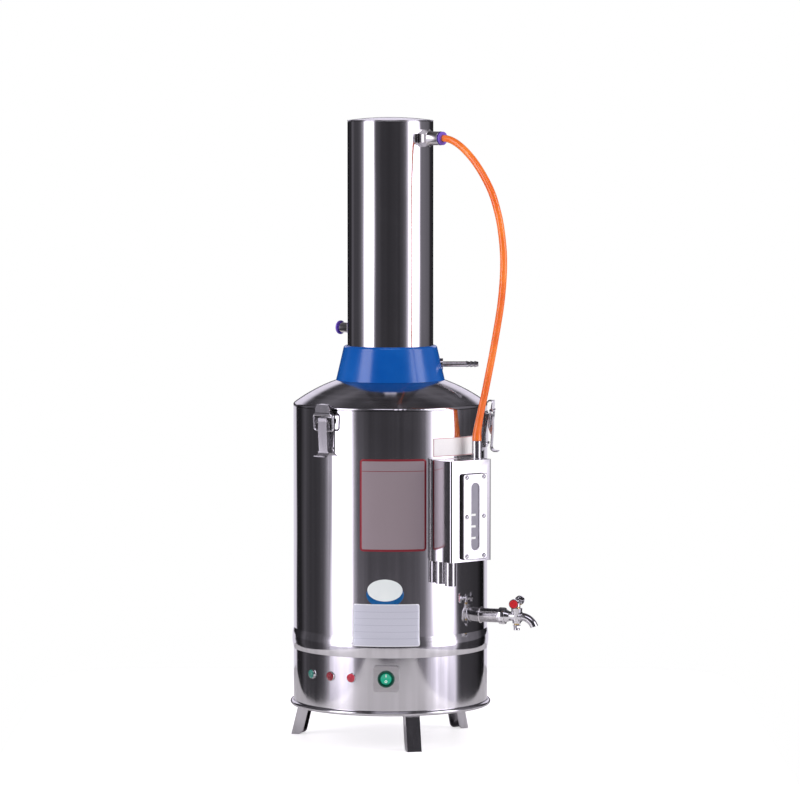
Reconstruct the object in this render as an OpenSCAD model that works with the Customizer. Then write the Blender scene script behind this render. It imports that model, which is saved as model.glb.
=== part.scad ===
// Electric water distiller: a boiler pot on a base skirt with three legs, a latched domed cover, a
// condenser column and a water level box. Millimetres, Z up, front toward -Y, origin on the column's
// axis at bench level. Places round the axis are azimuths: 0 is the front, 90 the right-hand side.

/* [Stand] */
// Height of the skirt's rolled rim above the bench
leg_h = 50.5; // [40:0.5:80]
// Width of a leg's web
leg_w = 21; // [18:1:30]
// Distance of a leg's top inside the skirt's wall
leg_inset = 6.5; // [5:0.5:20]
// Outward lean of a leg, in degrees
leg_splay = 14; // [6:1:18]
// Thickness of a leg's sheet
leg_sheet = 1.8; // [1.2:0.1:2.5]
// Depth of a leg's side flange
leg_depth = 16; // [12:1:18]
// Azimuth of the front leg
front_leg_az = 13.4; // [0:0.1:30]

/* [Base skirt] */
// Height of the skirt
skirt_h = 82.5; // [76:0.5:110]
// Radius of the rolled rim's round
roll_r = 3.5; // [2.5:0.5:5]
// How far the rolled rim stands out of the skirt
roll_out = 5; // [3:0.5:6]
// Height of the switch and the lamps above the rim
panel_rise = 53.5; // [45:0.5:56]
// Azimuth of the switch
switch_az = -2.5; // [-20:0.5:20]
// Width of the switch's square plate
switch_plate_w = 37; // [32:1:44]
// Outer diameter of the switch's round bezel
bezel_d = 24.5; // [22:0.5:30]
// Diameter of a pilot lamp's bezel
lamp_d = 14; // [10:0.5:18]
// Azimuth of the green pilot lamp
green_az = -52.9; // [-60:0.1:-46]
// Azimuths of the red pilot lamps
red_az = [-37.3, -23.3];
// Cable that the gland takes
cable_d = 9; // [6:0.5:12]

/* [Boiler] */
// Outer diameter of the pot, the skirt and the cover
pot_d = 280; // [260:2:320]
// Height of the pot
pot_h = 350.5; // [335:0.5:400]
// Thickness of the stainless sheet
sheet = 1.5; // [1:0.1:2]
// Height of the bead round the pot's foot
bead_h = 30; // [20:1:40]
// How far the bead stands out
bead_out = 2; // [1:0.5:3]
// Width of the turned-in flange at the pot's mouth
mouth_flange = 9; // [7:0.5:12]
// Height of the pot's bottom above the skirt
bottom_rise = 3; // [2:0.5:6]
// Diameter of a heating tube
heater_d = 8.4; // [6:0.2:10]
// Height of a heating loop above the pot's bottom
heater_h = 47; // [40:1:50]
// Radius of the circle that the heating loops stand on
heater_rho = 70; // [55:1:85]

/* [Drain tap] */
// Azimuth of the tap
tap_az = 68; // [60:1:76]
// Height of the tap above the skirt
tap_rise = 52; // [45:1:80]
// Diameter of the drain socket
socket_d = 20; // [16:1:24]
// Length of the drain socket outside the pot
socket_l = 28.3; // [20:0.1:35]
// Distance of the plug's axis from the socket's end
plug_reach = 26.7; // [24:0.1:35]
// Length of the handle, over its ends
handle_l = 52; // [40:1:60]
// Angle that the handle stands off the square when the tap is shut
handle_turn = 10; // [0:1:20]
// Outer diameter of the spout
spout_d = 11.5; // [9:0.5:14]

/* [Water level box] */
// Azimuth of the box
box_az = 39.5; // [36:0.5:44]
// Width of the box
box_w = 75; // [70:1:90]
// Depth of the box in front of the pot's wall
box_depth = 40; // [38:0.5:60]
// Height of the box's floor above the skirt
box_rise = 138; // [120:1:150]
// Height of the box
box_h = 143.5; // [135:0.5:170]
// Outer diameter of the two outlet pipes
outlet_pipe_d = 16; // [12:0.5:17]
// Outer diameter of the inlet pipe
inlet_pipe_d = 14; // [12:0.5:16]
// Height of the overflow's lip above the box's floor
overflow_rise = 78; // [60:1:100]
// Height of the window's centre above the box's floor
window_rise = 64; // [62:0.5:76]
// Width of the window frame
window_w = 43; // [40:1:50]
// Height of the window frame
window_h = 120; // [100:1:125]
// Width of the window's slot
slot_w = 14.5; // [10:0.5:18]
// Height of the window's slot
slot_h = 96; // [80:1:100]

/* [Latches] */
// Azimuth of the left-hand latch
latch_az = -40; // [-50:1:-30]
// Height of a lever's pivot below the pot's mouth
latch_drop = 15.5; // [14:0.5:18]
// Distance of the pivot from the pot's wall
latch_out = 6.5; // [6:0.5:9]
// Width of a lever
lever_w = 16; // [14:1:18]
// Width of a latch's base plate
latch_w = 27; // [25:1:32]
// Diameter of the claw's wire
wire_d = 3; // [2.5:0.1:3]
// Angle that a lever turns back to hook the claw
hook_turn = 6; // [5:0.5:7]

/* [Cover and collar] */
// Radius of the cover's dome
dome_r = 234; // [200:1:280]
// Radius of the knuckle between the dome and the hem
knuckle_r = 4.5; // [4:0.5:6]
// Thickness of the gasket
gasket_t = 2.4; // [2:0.1:3]
// Outer diameter of the collar's foot
collar_d = 156.8; // [150:0.2:170]
// Outer diameter of the collar's top
collar_top_d = 133.6; // [130:0.2:146]
// Height of the collar
collar_h = 50; // [42:1:60]
// Wall of the collar
collar_t = 3; // [2:0.5:4]

/* [Condenser column] */
// Outer diameter of the column
column_d = 123.6; // [110:0.2:126]
// Height of the column above the collar's foot
column_h = 372; // [300:1:450]
// Wall of the column
column_t = 1.2; // [1:0.1:2]
// Outer diameter of a condenser tube
tube_d = 18; // [14:0.5:20]
// Radius of the circle of condenser tubes
tube_circle = 36; // [32:0.5:38]
// Diameter of the distillate spigot
spigot_d = 8; // [6:0.5:10]
// Length of the spigot outside the collar's top
spigot_l = 60.2; // [45:0.1:80]
// Azimuth of the spigot
spigot_az = 90; // [80:1:100]
// Height of the outlet fitting below the column's top
outlet_drop = 24; // [20:1:40]
// Height of the inlet fitting above the collar
inlet_rise = 22.5; // [22:0.5:40]
// Azimuth of the inlet fitting
inlet_az = -130.5; // [-150:0.5:-110]
// Diameter of the hose
hose_d = 10; // [8:0.5:10]

/* [Hidden] */
$fn = 72;
over = 1;            // overshoot of a cut
seat = 0.1;          // gap between pieces that sit on each other
slip = 0.1;          // radial play of a pin, rivet or pipe in its hole
seal_gap = 0.3;      // gap between the gasket and the pot's mouth
pot_r = pot_d / 2;
pot_in = pot_r - sheet;
deck_z = leg_h + skirt_h;
rim_z = deck_z + pot_h;
panel_z = leg_h + panel_rise;
deck_r = pot_r - 14;

plate_z = leg_h + 7.5;
plate_top = plate_z + sheet;
leg_top_r = pot_r - leg_inset;
foot_r = leg_top_r + plate_z * tan(leg_splay);
leg_top_rho = leg_top_r - leg_sheet / 2;
leg_az = [front_leg_az, front_leg_az - 120, front_leg_az + 120];
leg_tab = 22;
screw_rho = leg_top_r - 9.5;
screw_t = 4.5;
screw_r = 2.5;

lamp_barrel_r = lamp_d / 2 - 1.2;
lens_r = lamp_d / 2 - 2.1;
lamp_face = pot_r + 2;
plate_face = pot_r + 3.5;
barrel_r = bezel_d / 2 - 1.6;
pocket_r = barrel_r - 1;
pocket_depth = 11;
bezel_t = 2.2;
rocker_rho = plate_face - 4;
rocker_tilt = -7;
rocker_pin_r = 1.1;
gland_z = panel_z - 9;
contactor_back = pot_in - 26.5;
contactor_l = 74;
contactor_w = 45;
gland_r = cable_d / 2 + 3.5;

bottom_z = deck_z + bottom_rise;
bottom_top = bottom_z + sheet;
heater_r = heater_d / 2;
heater_az = [30, 150, 270];
heater_half = 20;
stub_r = 6;
stub_l = 18;         // length of a heater's thread below the bottom
pin_l = 6;           // length of its contact pin
hex_stub = 8.5;
tap_z = deck_z + tap_rise;
socket_r = socket_d / 2;
socket_end = pot_r + socket_l;
plug_r = socket_end + plug_reach;
handle_z = 20.5;
cap_r = 5.9;

box_z = deck_z + box_rise;
box_top = box_z + box_h;
box_edge = 3;
box_front = pot_r + box_depth;
box_pipe_rho = pot_r + 19;
box_pipe_t = box_w / 2 - 9.5;
outlet_r = outlet_pipe_d / 2;
outlet_t = outlet_r + 0.8 - box_w / 2;
overflow_at = [pot_r + outlet_r - 0.5, outlet_t];
drain_at = [box_front - outlet_r - 4, outlet_t];
outlet_neck_r = outlet_r - 1.2;
window_t = 3.3;
window_z = box_z + window_rise;
window_pitch = (window_h - 8) / 2;
window_side = window_w / 2 - 5.8;
gasket_face = box_front + seat;
pane_face = gasket_face + 1 + seat;
frame_face = pane_face + 2 + seat;
frame_out = frame_face + 1.5;

latch_azs = [latch_az, latch_az + 120, latch_az + 240];
latch_rho = pot_r + latch_out;
latch_z = rim_z - latch_drop;
latch_foot = 43;
latch_plate_t = 1.6;
latch_pin_r = 2;
link = 13;
wire_r = wire_d / 2;
lever_sheet = 1.5;
loop_h = 23;
loop_half = 17.5;
claw_h = 37;
tooth_reach = 6.8;
ear_gap = lever_w / 2 + 1.5;
keeper_top = latch_z - link * cos(hook_turn) + claw_h - lever_sheet - 0.3;
keeper_tip = pot_r + 3;

hem_z = rim_z + 0.8;
knuckle_x = pot_r - knuckle_r;
knuckle_z = hem_z + 0.4;
dome_z0 = knuckle_z - sqrt(pow(dome_r - knuckle_r, 2) - pow(knuckle_x, 2));
cover_hole = 50;
gasket_z = rim_z + seal_gap;
collar_r = collar_d / 2;
collar_top_r = collar_top_d / 2;
collar_z = dome_height(collar_r);
collar_top = collar_z + collar_h;
collar_lean = atan((collar_r - collar_top_r) / collar_h);
column_r = column_d / 2;
column_in = column_r - column_t;
column_top = collar_z + column_h;
spigot_z = collar_z + 22.5;
spigot_r = spigot_d / 2;
spigot_bore = spigot_r - 1.2;
spigot_end = collar_top_r + spigot_l;
tray_z = spigot_z - 7;
neck_r = 28.5;
neck_top = tray_z + 24.5;
low_plate_z = collar_top + 8;
high_plate_z = column_top - 8;
tube_r = tube_d / 2;

outlet_z = column_top - outlet_drop;
inlet_z = collar_top + inlet_rise;
hose_az = box_az + atan2(box_pipe_t, box_pipe_rho);
hose_bore = hose_d / 2 + 0.15;
sleeve_r = hose_d / 2 + 1.5;
ring_gap = 1.7;

// The hose's route from the outlet fitting to the box's inlet pipe: distance from the axis and height,
// with the last points straight down over the pipe
hose_route = [
    [80, 868], [100, 868], [112, 866], [125, 860.5], [138, 852], [151, 841], [162, 829.5], [172, 817],
    [182, 802.5], [190, 788], [197, 770], [203, 750], [207, 728], [209.5, 705], [209.5, 680],
    [207.5, 655], [204, 630], [199, 605], [193.5, 580], [188, 556], [182, 532], [176, 508],
    [170, 486], [165, 466], [162, 452], [161.5, 446], [161.5, 439.8]
];
hose_sides = 10;
hose_flare = 1.7;      // growth of the radius where the end widens
hose_flare_h = 40;     // length of the widened end

steel = [0.80, 0.81, 0.83];
dark_steel = [0.35, 0.35, 0.37];
chrome = [0.88, 0.88, 0.90];
brass = [0.80, 0.66, 0.36];
black = [0.12, 0.12, 0.13];

// Height of the dome's outer face at a distance from the axis
function dome_height(r) = dome_z0 + sqrt(pow(dome_r, 2) - pow(r, 2));

// Turns a drawing to an azimuth: X points outward, Y to the right as seen from outside
module spoke(az) rotate([0, 0, az - 90]) children();

// Lays a drawing's Z axis along the outward direction at an azimuth and height
module radial(az, z) spoke(az) translate([0, 0, z]) rotate([0, 90, 0]) children();

// Stands a flat drawing up, facing outward: X is to the right, Y is up
module facing(az, rho, z) spoke(az) translate([rho, 0, z]) rotate([90, 0, 90]) children();

module ring(r_out, r_in, h) difference() {
    cylinder(r = r_out, h = h);
    translate([0, 0, -over]) cylinder(r = r_in, h = h + 2 * over);
}

// Hexagon prism, sized across its flats
module hex(flats, h) cylinder(r = flats / 2 / cos(30), h = h, $fn = 6);

module rounded(w, h, r) {
    square([w - 2 * r, h], center = true);
    square([w, h - 2 * r], center = true);
    for (x = [-1, 1], y = [-1, 1]) translate([x * (w / 2 - r), y * (h / 2 - r)]) circle(r = r);
}

module slot(w, h) {
    square([w, h - w], center = true);
    for (s = [-1, 1]) translate([0, s * (h - w) / 2]) circle(d = w);
}

// Stand and base

module base_skirt() color(steel) difference() {
    rotate_extrude() {
        translate([pot_in, leg_h + roll_r]) square([sheet, skirt_h - roll_r]);
        translate([pot_r + roll_out - roll_r, leg_h + roll_r]) circle(r = roll_r);
        translate([deck_r, deck_z - sheet]) square([pot_r - deck_r, sheet]);
    }
    for (az = concat([green_az], red_az))
        radial(az, panel_z) translate([0, 0, pot_r - 20]) cylinder(r = lamp_barrel_r + slip, h = 40);
    radial(switch_az, panel_z) translate([0, 0, pot_r - 20]) cylinder(r = barrel_r + slip, h = 40);
    radial(180, gland_z) translate([0, 0, pot_r - 20]) cylinder(r = gland_r + slip, h = 40);
}

module base_plate() color(steel) difference() {
    translate([0, 0, plate_z]) {
        cylinder(r = pot_in - seat, h = sheet);
        ring(pot_in - seat, pot_in - seat - sheet, 14);
    }
    for (row = [[12, 30], [20, 46]], i = [0 : row[0] - 1])
        rotate(i * 360 / row[0]) translate([row[1], 0, plate_z - over]) cylinder(r = 4, h = sheet + 2 * over);
    for (az = leg_az, s = [-1, 1])
        spoke(az) translate([screw_rho, s * screw_t, plate_z - over])
            cylinder(r = screw_r + slip, h = sheet + 2 * over);
}

// Pressed channel leg, open to the inside, with a tab under the base plate
module leg(az) color(steel) spoke(az) difference() {
    intersection() {
        union() {
            translate([foot_r, 0, 0]) rotate([0, -leg_splay, 0]) {
                translate([-leg_sheet, -leg_w / 2, -20]) cube([leg_sheet, leg_w, plate_z + 40]);
                for (s = [-1, 1])
                    translate([0, s * (leg_w - leg_sheet) / 2, 0]) rotate([90, 0, 0])
                        linear_extrude(leg_sheet, center = true) leg_side();
            }
            translate([leg_top_rho - leg_tab, -(leg_w - leg_sheet) / 2, plate_z - leg_sheet])
                cube([leg_tab, leg_w - leg_sheet, leg_sheet + over]);
        }
        translate([0, -leg_w, 0]) cube([foot_r + 40, 2 * leg_w, plate_z]);
    }
    for (s = [-1, 1])
        translate([screw_rho, s * screw_t, plate_z - 20]) cylinder(r = screw_r + slip, h = 40);
}

// A flange in the leg's own plane, its inner corner at the bench rounded
module leg_side() {
    corner = 9;
    toe = 2;
    below = 20;
    difference() {
        translate([-leg_depth, -below]) square([leg_depth, below + plate_z + 20]);
        translate([-leg_depth - over, -below - over]) difference() {
            square([corner + over, below + over + toe + corner]);
            translate([corner + over, below + over + toe + corner]) circle(r = corner);
        }
    }
}

module leg_screws() color(steel)
    for (az = leg_az, s = [-1, 1]) spoke(az) translate([screw_rho, s * screw_t, 0]) {
        translate([0, 0, plate_z - leg_sheet - seat - 2.6]) cylinder(r = 4, h = 2.6);
        translate([0, 0, plate_z - leg_sheet - seat - over]) cylinder(r = screw_r, h = 12);
        translate([0, 0, plate_top + seat]) hex(7, 3.6);
    }

module cable_gland() color(black) difference() {
    radial(180, gland_z) {
        translate([0, 0, pot_r - 16]) cylinder(r = gland_r, h = 32);
        translate([0, 0, pot_in - 5]) hex(2 * gland_r + 5, 4);
        translate([0, 0, pot_r + seat]) hex(2 * gland_r + 6, 5);
        translate([0, 0, pot_r + 5]) cylinder(r = gland_r + 2.4, h = 10);
        translate([0, 0, pot_r + 15]) cylinder(r1 = gland_r + 2.4, r2 = cable_d / 2 + 2, h = 5);
    }
    radial(180, gland_z) translate([0, 0, pot_r - 20]) cylinder(r = cable_d / 2, h = 50);
}

// Three-pole contactor, its steps holding the terminals
module contactor() color(black) translate([0, contactor_back - contactor_l, plate_top + seat]) {
    difference() {
        rotate([90, 0, 90]) linear_extrude(contactor_w, center = true)
            for (step = [[0, 20], [12, 32], [24, 42]])
                translate([step[0], 0]) square([contactor_l - 2 * step[0], step[1]]);
        for (x = [-15, -5, 5, 15], y = [6, contactor_l - 6]) translate([x, y, 14]) cylinder(r = 3, h = 10);
    }
    for (x = [-15, -5, 5, 15], y = [6, contactor_l - 6]) translate([x, y, 13]) cylinder(r = 2.4, h = 4);
}

module terminal_block() color("white") spoke(-100) translate([pot_in - 94.5, 0, plate_top + seat]) {
    pitch = 11;
    difference() {
        translate([0, -2.5 * pitch, 0]) cube([24, 5 * pitch, 16]);
        for (i = [-2 : 2]) {
            translate([-over, i * pitch - 4, 8]) cube([8 + over, 8, 10]);
            translate([16, i * pitch - 4, 8]) cube([10, 8, 10]);
            translate([12, i * pitch, 8]) cylinder(r = 2, h = 10);
        }
    }
}

module switch_plate() color(steel) difference() {
    facing(switch_az, pot_r - 5, panel_z)
        linear_extrude(plate_face - pot_r + 5) rounded(switch_plate_w, switch_plate_w, 4);
    translate([0, 0, leg_h]) cylinder(r = pot_r + seat, h = skirt_h, $fn = 360);
    radial(switch_az, panel_z) translate([0, 0, pot_r - 20]) cylinder(r = barrel_r + slip, h = 40);
}

// Round body of the switch: bezel, barrel and the pocket that the rocker turns in
module switch_housing() color("darkgreen") radial(switch_az, panel_z) difference() {
    union() {
        translate([0, 0, plate_face - 28]) cylinder(r = barrel_r, h = 28 + bezel_t / 2);
        translate([0, 0, plate_face + seat]) cylinder(r1 = bezel_d / 2, r2 = bezel_d / 2 - 0.8, h = bezel_t);
        for (s = [-1, 1]) translate([-3, s * 5 - 0.4, plate_face - 36]) cube([6.3, 0.8, 12]);
    }
    translate([0, 0, rocker_rho - pocket_depth]) cylinder(r = pocket_r, h = 40);
    translate([0, 0, rocker_rho]) rotate([90, 0, 0])
        cylinder(r = rocker_pin_r + slip, h = 2 * barrel_r - 0.8, center = true);
}

// Rocker: a ball with two flat faces that meet in a shallow V, on a pin
module switch_rocker() color("limegreen") radial(switch_az, panel_z) translate([0, 0, rocker_rho])
    rotate([0, rocker_tilt, 0]) {
        difference() {
            sphere(r = pocket_r - 0.3);
            for (s = [-1, 1]) translate([0, 0, 5.6]) rotate([0, -s * 9, 0])
                translate([s < 0 ? -30 : 0, -15, 0]) cube([30, 30, 20]);
            translate([-15, -15, -30]) cube([30, 30, 25]);
        }
        rotate([90, 0, 0]) cylinder(r = rocker_pin_r, h = 2 * barrel_r - 1.2, center = true);
    }

module lamp_bezels() color(chrome)
    for (az = concat([green_az], red_az)) radial(az, panel_z) difference() {
        union() {
            translate([0, 0, pot_in - 18]) cylinder(r = lamp_barrel_r, h = 18 + sheet + 1);
            translate([0, 0, pot_r + seat]) cylinder(r1 = lamp_d / 2, r2 = lamp_d / 2 - 0.7, h = 2);
        }
        translate([0, 0, pot_r - 4]) cylinder(r = lens_r + slip, h = 10);
    }

module lamp_lens(az) radial(az, panel_z) {
    translate([0, 0, pot_r - 4 + seat]) cylinder(r = lens_r, h = lamp_face - pot_r + 4 - seat);
    translate([0, 0, lamp_face]) intersection() {
        translate([0, 0, -lens_r]) sphere(r = lens_r * sqrt(2));
        cylinder(r = lens_r, h = 10);
    }
}

module lens_green() color("green") lamp_lens(green_az);

module lenses_red() color("crimson") for (az = red_az) lamp_lens(az);

// Boiler

// Half section of the pot's outside, or of its inside when inset by the sheet
module pot_outline(inset) {
    bead_r = (pow(bead_h / 2, 2) + pow(bead_out, 2)) / (2 * bead_out);
    translate([0, deck_z - over]) square([pot_r - inset, pot_h + 2 * over]);
    intersection() {
        translate([pot_r + bead_out - bead_r, deck_z + bead_h / 2]) circle(r = bead_r - inset, $fn = 180);
        translate([0, deck_z - over]) square([pot_r + 2 * bead_out, bead_h + 2 * over]);
    }
}

module pot_shell() color(steel) difference() {
    rotate_extrude() intersection() {
        union() {
            difference() {
                pot_outline(0);
                pot_outline(sheet);
            }
            translate([0, bottom_z]) square([pot_r - sheet / 2, sheet]);
            translate([pot_r - mouth_flange, rim_z - sheet]) square([mouth_flange - sheet / 2, sheet]);
        }
        translate([0, deck_z + seat]) square([pot_r + 2 * bead_out, pot_h - seat]);
    }
    radial(tap_az, tap_z) translate([0, 0, pot_r - 10]) cylinder(r = socket_r + slip, h = 20);
    radial(box_az, box_z + 30) translate([0, 0, pot_r - 10]) cylinder(r = 8, h = 20);
    radial(box_az, box_top - 12) translate([0, 0, pot_r - 10]) cylinder(r = 5, h = 20);
    heater_places() translate([0, 0, bottom_z - over]) cylinder(r = stub_r + slip, h = sheet + 2 * over);
    rivet_places() translate([0, 0, pot_r - 10]) cylinder(r = 1.6 + slip, h = 20);
}

module heater_places()
    for (az = heater_az, s = [-1, 1]) spoke(az) translate([heater_rho, s * heater_half, 0]) children();

// Bent heating tubes on threaded stubs
module heating_elements() color(dark_steel) {
    leg_top = bottom_top + heater_h - heater_half - heater_r;
    heater_places() {
        translate([0, 0, bottom_top + 3]) cylinder(r = heater_r, h = leg_top - bottom_top - 3);
        translate([0, 0, bottom_top + seat]) hex(2 * hex_stub, 5);
        translate([0, 0, bottom_z - stub_l]) cylinder(r = stub_r, h = stub_l + sheet + 2.5);
        translate([0, 0, bottom_z - stub_l - pin_l]) cylinder(r = 2, h = pin_l + 2);
    }
    for (az = heater_az) spoke(az) translate([heater_rho, 0, leg_top]) rotate([90, 0, 90])
        rotate_extrude(angle = 180) translate([heater_half, 0]) circle(r = heater_r);
}

module heater_nuts() color(brass) heater_places() difference() {
    translate([0, 0, bottom_z - seat - 6]) hex(19, 6);
    translate([0, 0, bottom_z - 10]) cylinder(r = stub_r + slip, h = 20);
}

module dry_boil_thermostat() color(black) {
    translate([0, 0, bottom_z - seat - 3]) cylinder(r = 9.5, h = 3);
    translate([0, 0, bottom_z - seat - 11]) cylinder(r = 8, h = 9);
    for (s = [-1, 1]) translate([s * 4 - 0.4, -3, bottom_z - 20]) cube([0.8, 6, 10]);
}

module drain_socket() color(steel) radial(tap_az, tap_z)
    translate([0, 0, pot_in - 2]) ring(socket_r, 7, socket_end - pot_in + 2);

module tap_nut() color(chrome) radial(tap_az, tap_z)
    difference() {
        translate([0, 0, socket_end + seat]) intersection() {
            hex(21, 10);
            translate([0, 0, 5]) sphere(r = 12.6);
        }
        translate([0, 0, socket_end - over]) cylinder(r = 7, h = 20);
    }

// Tap body: tail, waist, upright barrel for the plug, and the bent spout
module tap_body() color(chrome) {
    tail_r = 6.9;
    shoulder = socket_end + 10 + 2 * seat;
    bend = 21;
    turn = 70;
    difference() {
        union() {
            radial(tap_az, tap_z) {
                translate([0, 0, socket_end - 12]) cylinder(r = tail_r, h = plug_r - socket_end + 12);
                translate([0, 0, shoulder]) cylinder(r1 = 9.5, r2 = 7, h = 6);
                translate([0, 0, plug_r]) cylinder(r = spout_d / 2 + 0.6, h = 8);
                translate([0, 0, plug_r + 5]) cylinder(r = spout_d / 2 + 2, h = 2);
            }
            spoke(tap_az) translate([plug_r, 0, tap_z - 9.8]) cylinder(r1 = 6, r2 = 8.2, h = 21.6);
            spoke(tap_az) translate([plug_r + 7, 0, tap_z - bend]) rotate([90, 0, 0])
                rotate([0, 0, 90 - turn]) rotate_extrude(angle = turn)
                    translate([bend, 0]) circle(d = spout_d);
        }
        spoke(tap_az) translate([plug_r, 0, tap_z - 12]) cylinder(r1 = 3.9, r2 = 5.4, h = 26);
        radial(tap_az, tap_z) translate([0, 0, socket_end - 13])
            cylinder(r = 4, h = plug_r - socket_end + 21);
        spoke(tap_az) translate([plug_r + 7, 0, tap_z - bend]) rotate([90, 0, 0])
            rotate([0, 0, 90 - turn - 2]) rotate_extrude(angle = turn + 2)
                translate([bend, 0]) circle(r = spout_d / 2 - 1.4);
    }
}

// Tapered plug with its port, its stem for the handle and its threaded end
module tap_plug() color(brass) spoke(tap_az) translate([plug_r, 0, tap_z]) difference() {
    union() {
        translate([0, 0, -12]) cylinder(r1 = 3.8, r2 = 5.3, h = 26);
        translate([0, 0, -18]) cylinder(r = 2.4, h = 8);
        translate([0, 0, 13]) cylinder(r = 3, h = 8);
    }
    rotate([90, 0, 0]) cylinder(r = 3.2, h = 30, center = true);
}

// Butterfly handle across the plug's stem, with a round pad at each end
module tap_handle() color(chrome) spoke(tap_az) translate([plug_r, 0, tap_z]) difference() {
    union() {
        translate([0, 0, 14.2]) cylinder(r = 5.2, h = 7.5);
        translate([0, 0, 21]) sphere(r = 5);
        handle_ends() {
            cylinder(r1 = 4.2, r2 = 2.6, h = handle_l / 2 - 4);
            translate([0, 0, handle_l / 2 - 5]) cylinder(r = cap_r + 0.9, h = 5);
        }
    }
    translate([0, 0, 13]) cylinder(r = 3.05, h = 8.4);
    handle_ends() translate([0, 0, handle_l / 2 - 1.2]) cylinder(r = cap_r + slip, h = 5);
}

module handle_ends() translate([0, 0, handle_z])
    for (s = [-1, 1]) rotate([0, 0, handle_turn]) rotate([-s * 90, 0, 0]) children();

module tap_caps() color("crimson") spoke(tap_az) translate([plug_r, 0, tap_z]) handle_ends() {
    translate([0, 0, handle_l / 2 - 1.1]) cylinder(r = cap_r, h = 1.3);
    translate([0, 0, handle_l / 2 + 0.1]) cylinder(r1 = cap_r, r2 = cap_r - 0.8, h = 0.6);
}

module tap_plug_nut() color(chrome) spoke(tap_az) translate([plug_r, 0, tap_z]) difference() {
    union() {
        translate([0, 0, -16.4]) hex(9.6, 4);
        translate([0, 0, -12.5]) cylinder(r = 6, h = 0.4);
        translate([0, 0, -18.6]) intersection() {
            sphere(r = 4.5);
            translate([0, 0, -1]) cylinder(r = 5, h = 4);
        }
    }
    translate([0, 0, -18.1]) cylinder(r = 2.45, h = 12);
}

// Water level box

module box_outline(inset) {
    w = box_w / 2 - inset;
    front = box_front - inset;
    r = box_edge - inset / 2;
    translate([pot_r - 30, -w]) square([front - r - pot_r + 30, 2 * w]);
    translate([pot_r - 30, -w + r]) square([front - pot_r + 30, 2 * (w - r)]);
    for (s = [-1, 1]) translate([front - r, s * (w - r)]) circle(r = r);
}

module window_screw_places()
    for (s = [-1, 1], k = [-1, 0, 1])
        spoke(box_az) translate([0, window_t + s * window_side, window_z + k * window_pitch])
            rotate([0, 90, 0]) children();

module water_box() color(steel) difference() {
    spoke(box_az) translate([0, 0, box_z]) linear_extrude(box_h) box_outline(0);
    spoke(box_az) translate([0, 0, box_z + sheet]) linear_extrude(box_h - 2 * sheet) box_outline(sheet);
    cylinder(r = pot_r + seat, h = box_top + 10);
    spoke(box_az) {
        translate([box_pipe_rho, box_pipe_t, box_top - 10]) cylinder(r = inlet_pipe_d / 2 + slip, h = 20);
        for (p = [overflow_at, drain_at])
            translate([p[0], p[1], box_z - 5]) cylinder(r = outlet_neck_r + slip, h = 10);
    }
    facing(box_az, box_front - 5, window_z) translate([window_t, 0]) linear_extrude(10) slot(slot_w, slot_h);
    window_screw_places() translate([0, 0, box_front - 5]) cylinder(r = 1.5 + slip, h = 10);
}

module box_inlet_pipe() color(steel) spoke(box_az)
    translate([box_pipe_rho, box_pipe_t, box_top - 12]) ring(inlet_pipe_d / 2, inlet_pipe_d / 2 - 2.2, 37);

// Pipe that butts on the box's floor, with a neck through it
module outlet_pipe(h) {
    cylinder(d = outlet_pipe_d, h = h - seat);
    cylinder(r = outlet_neck_r, h = h + 4);
}

module overflow_pipe() color(steel)
spoke(box_az) translate([overflow_at[0], overflow_at[1], 0]) difference() {
    union() {
        translate([0, 0, box_z - 32]) outlet_pipe(32);
        translate([0, 0, box_z + 2]) cylinder(r = 6, h = overflow_rise - 2);
    }
    translate([0, 0, box_z - 40]) cylinder(r = outlet_neck_r - 1, h = 42);
    translate([0, 0, box_z]) cylinder(r = 5, h = overflow_rise + over);
}

module box_drain_pipe() color(steel) spoke(box_az)
    translate([drain_at[0], drain_at[1], box_z - 34]) difference() {
        outlet_pipe(34);
        translate([0, 0, -over]) cylinder(r = outlet_neck_r - 1, h = 50);
    }

module window_sheet(face, t, w, h, gap) difference() {
    facing(box_az, face, window_z) translate([window_t, 0]) linear_extrude(t) difference() {
        rounded(w, h, 3);
        if (gap > 0) slot(gap, slot_h + gap - slot_w);
    }
    window_screw_places() translate([0, 0, face - over]) cylinder(r = 1.5 + 2 * slip, h = t + 2 * over);
}

module window_gasket() color(black) window_sheet(gasket_face, 1, window_w - 1, window_h - 1, slot_w + 2);

module window_pane() color([0.75, 0.85, 0.88, 0.5])
    window_sheet(pane_face, 2, window_w - 1, window_h - 1, 0);

module window_frame() color(steel) difference() {
    window_sheet(frame_face, 1.5, window_w, window_h, slot_w);
    facing(box_az, frame_out - 0.5, window_z) translate([window_t, 0])
        linear_extrude(5) slot(slot_w + 1.6, slot_h + 1.6);
}

module window_screws() color(chrome) window_screw_places() {
    translate([0, 0, box_front - 6]) cylinder(r = 1.5, h = frame_out + seat + 0.5 - box_front + 6);
    translate([0, 0, frame_out + seat]) intersection() {
        translate([0, 0, -1.6]) sphere(r = 3.75);
        cylinder(r = 3.4, h = 3);
    }
}

// Latches

// Stands a side view up at a latch's pivot: X is outward, Y is up
module latch_side(az) spoke(az) translate([latch_rho, 0, latch_z]) rotate([90, 0, 0]) children();

module rivet_places()
    for (az = latch_azs, p = [[-10.8, -38], [10.8, -38], [0, 5]])
        spoke(az) translate([0, p[0], latch_z + p[1]]) rotate([0, 90, 0]) children();

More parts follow.
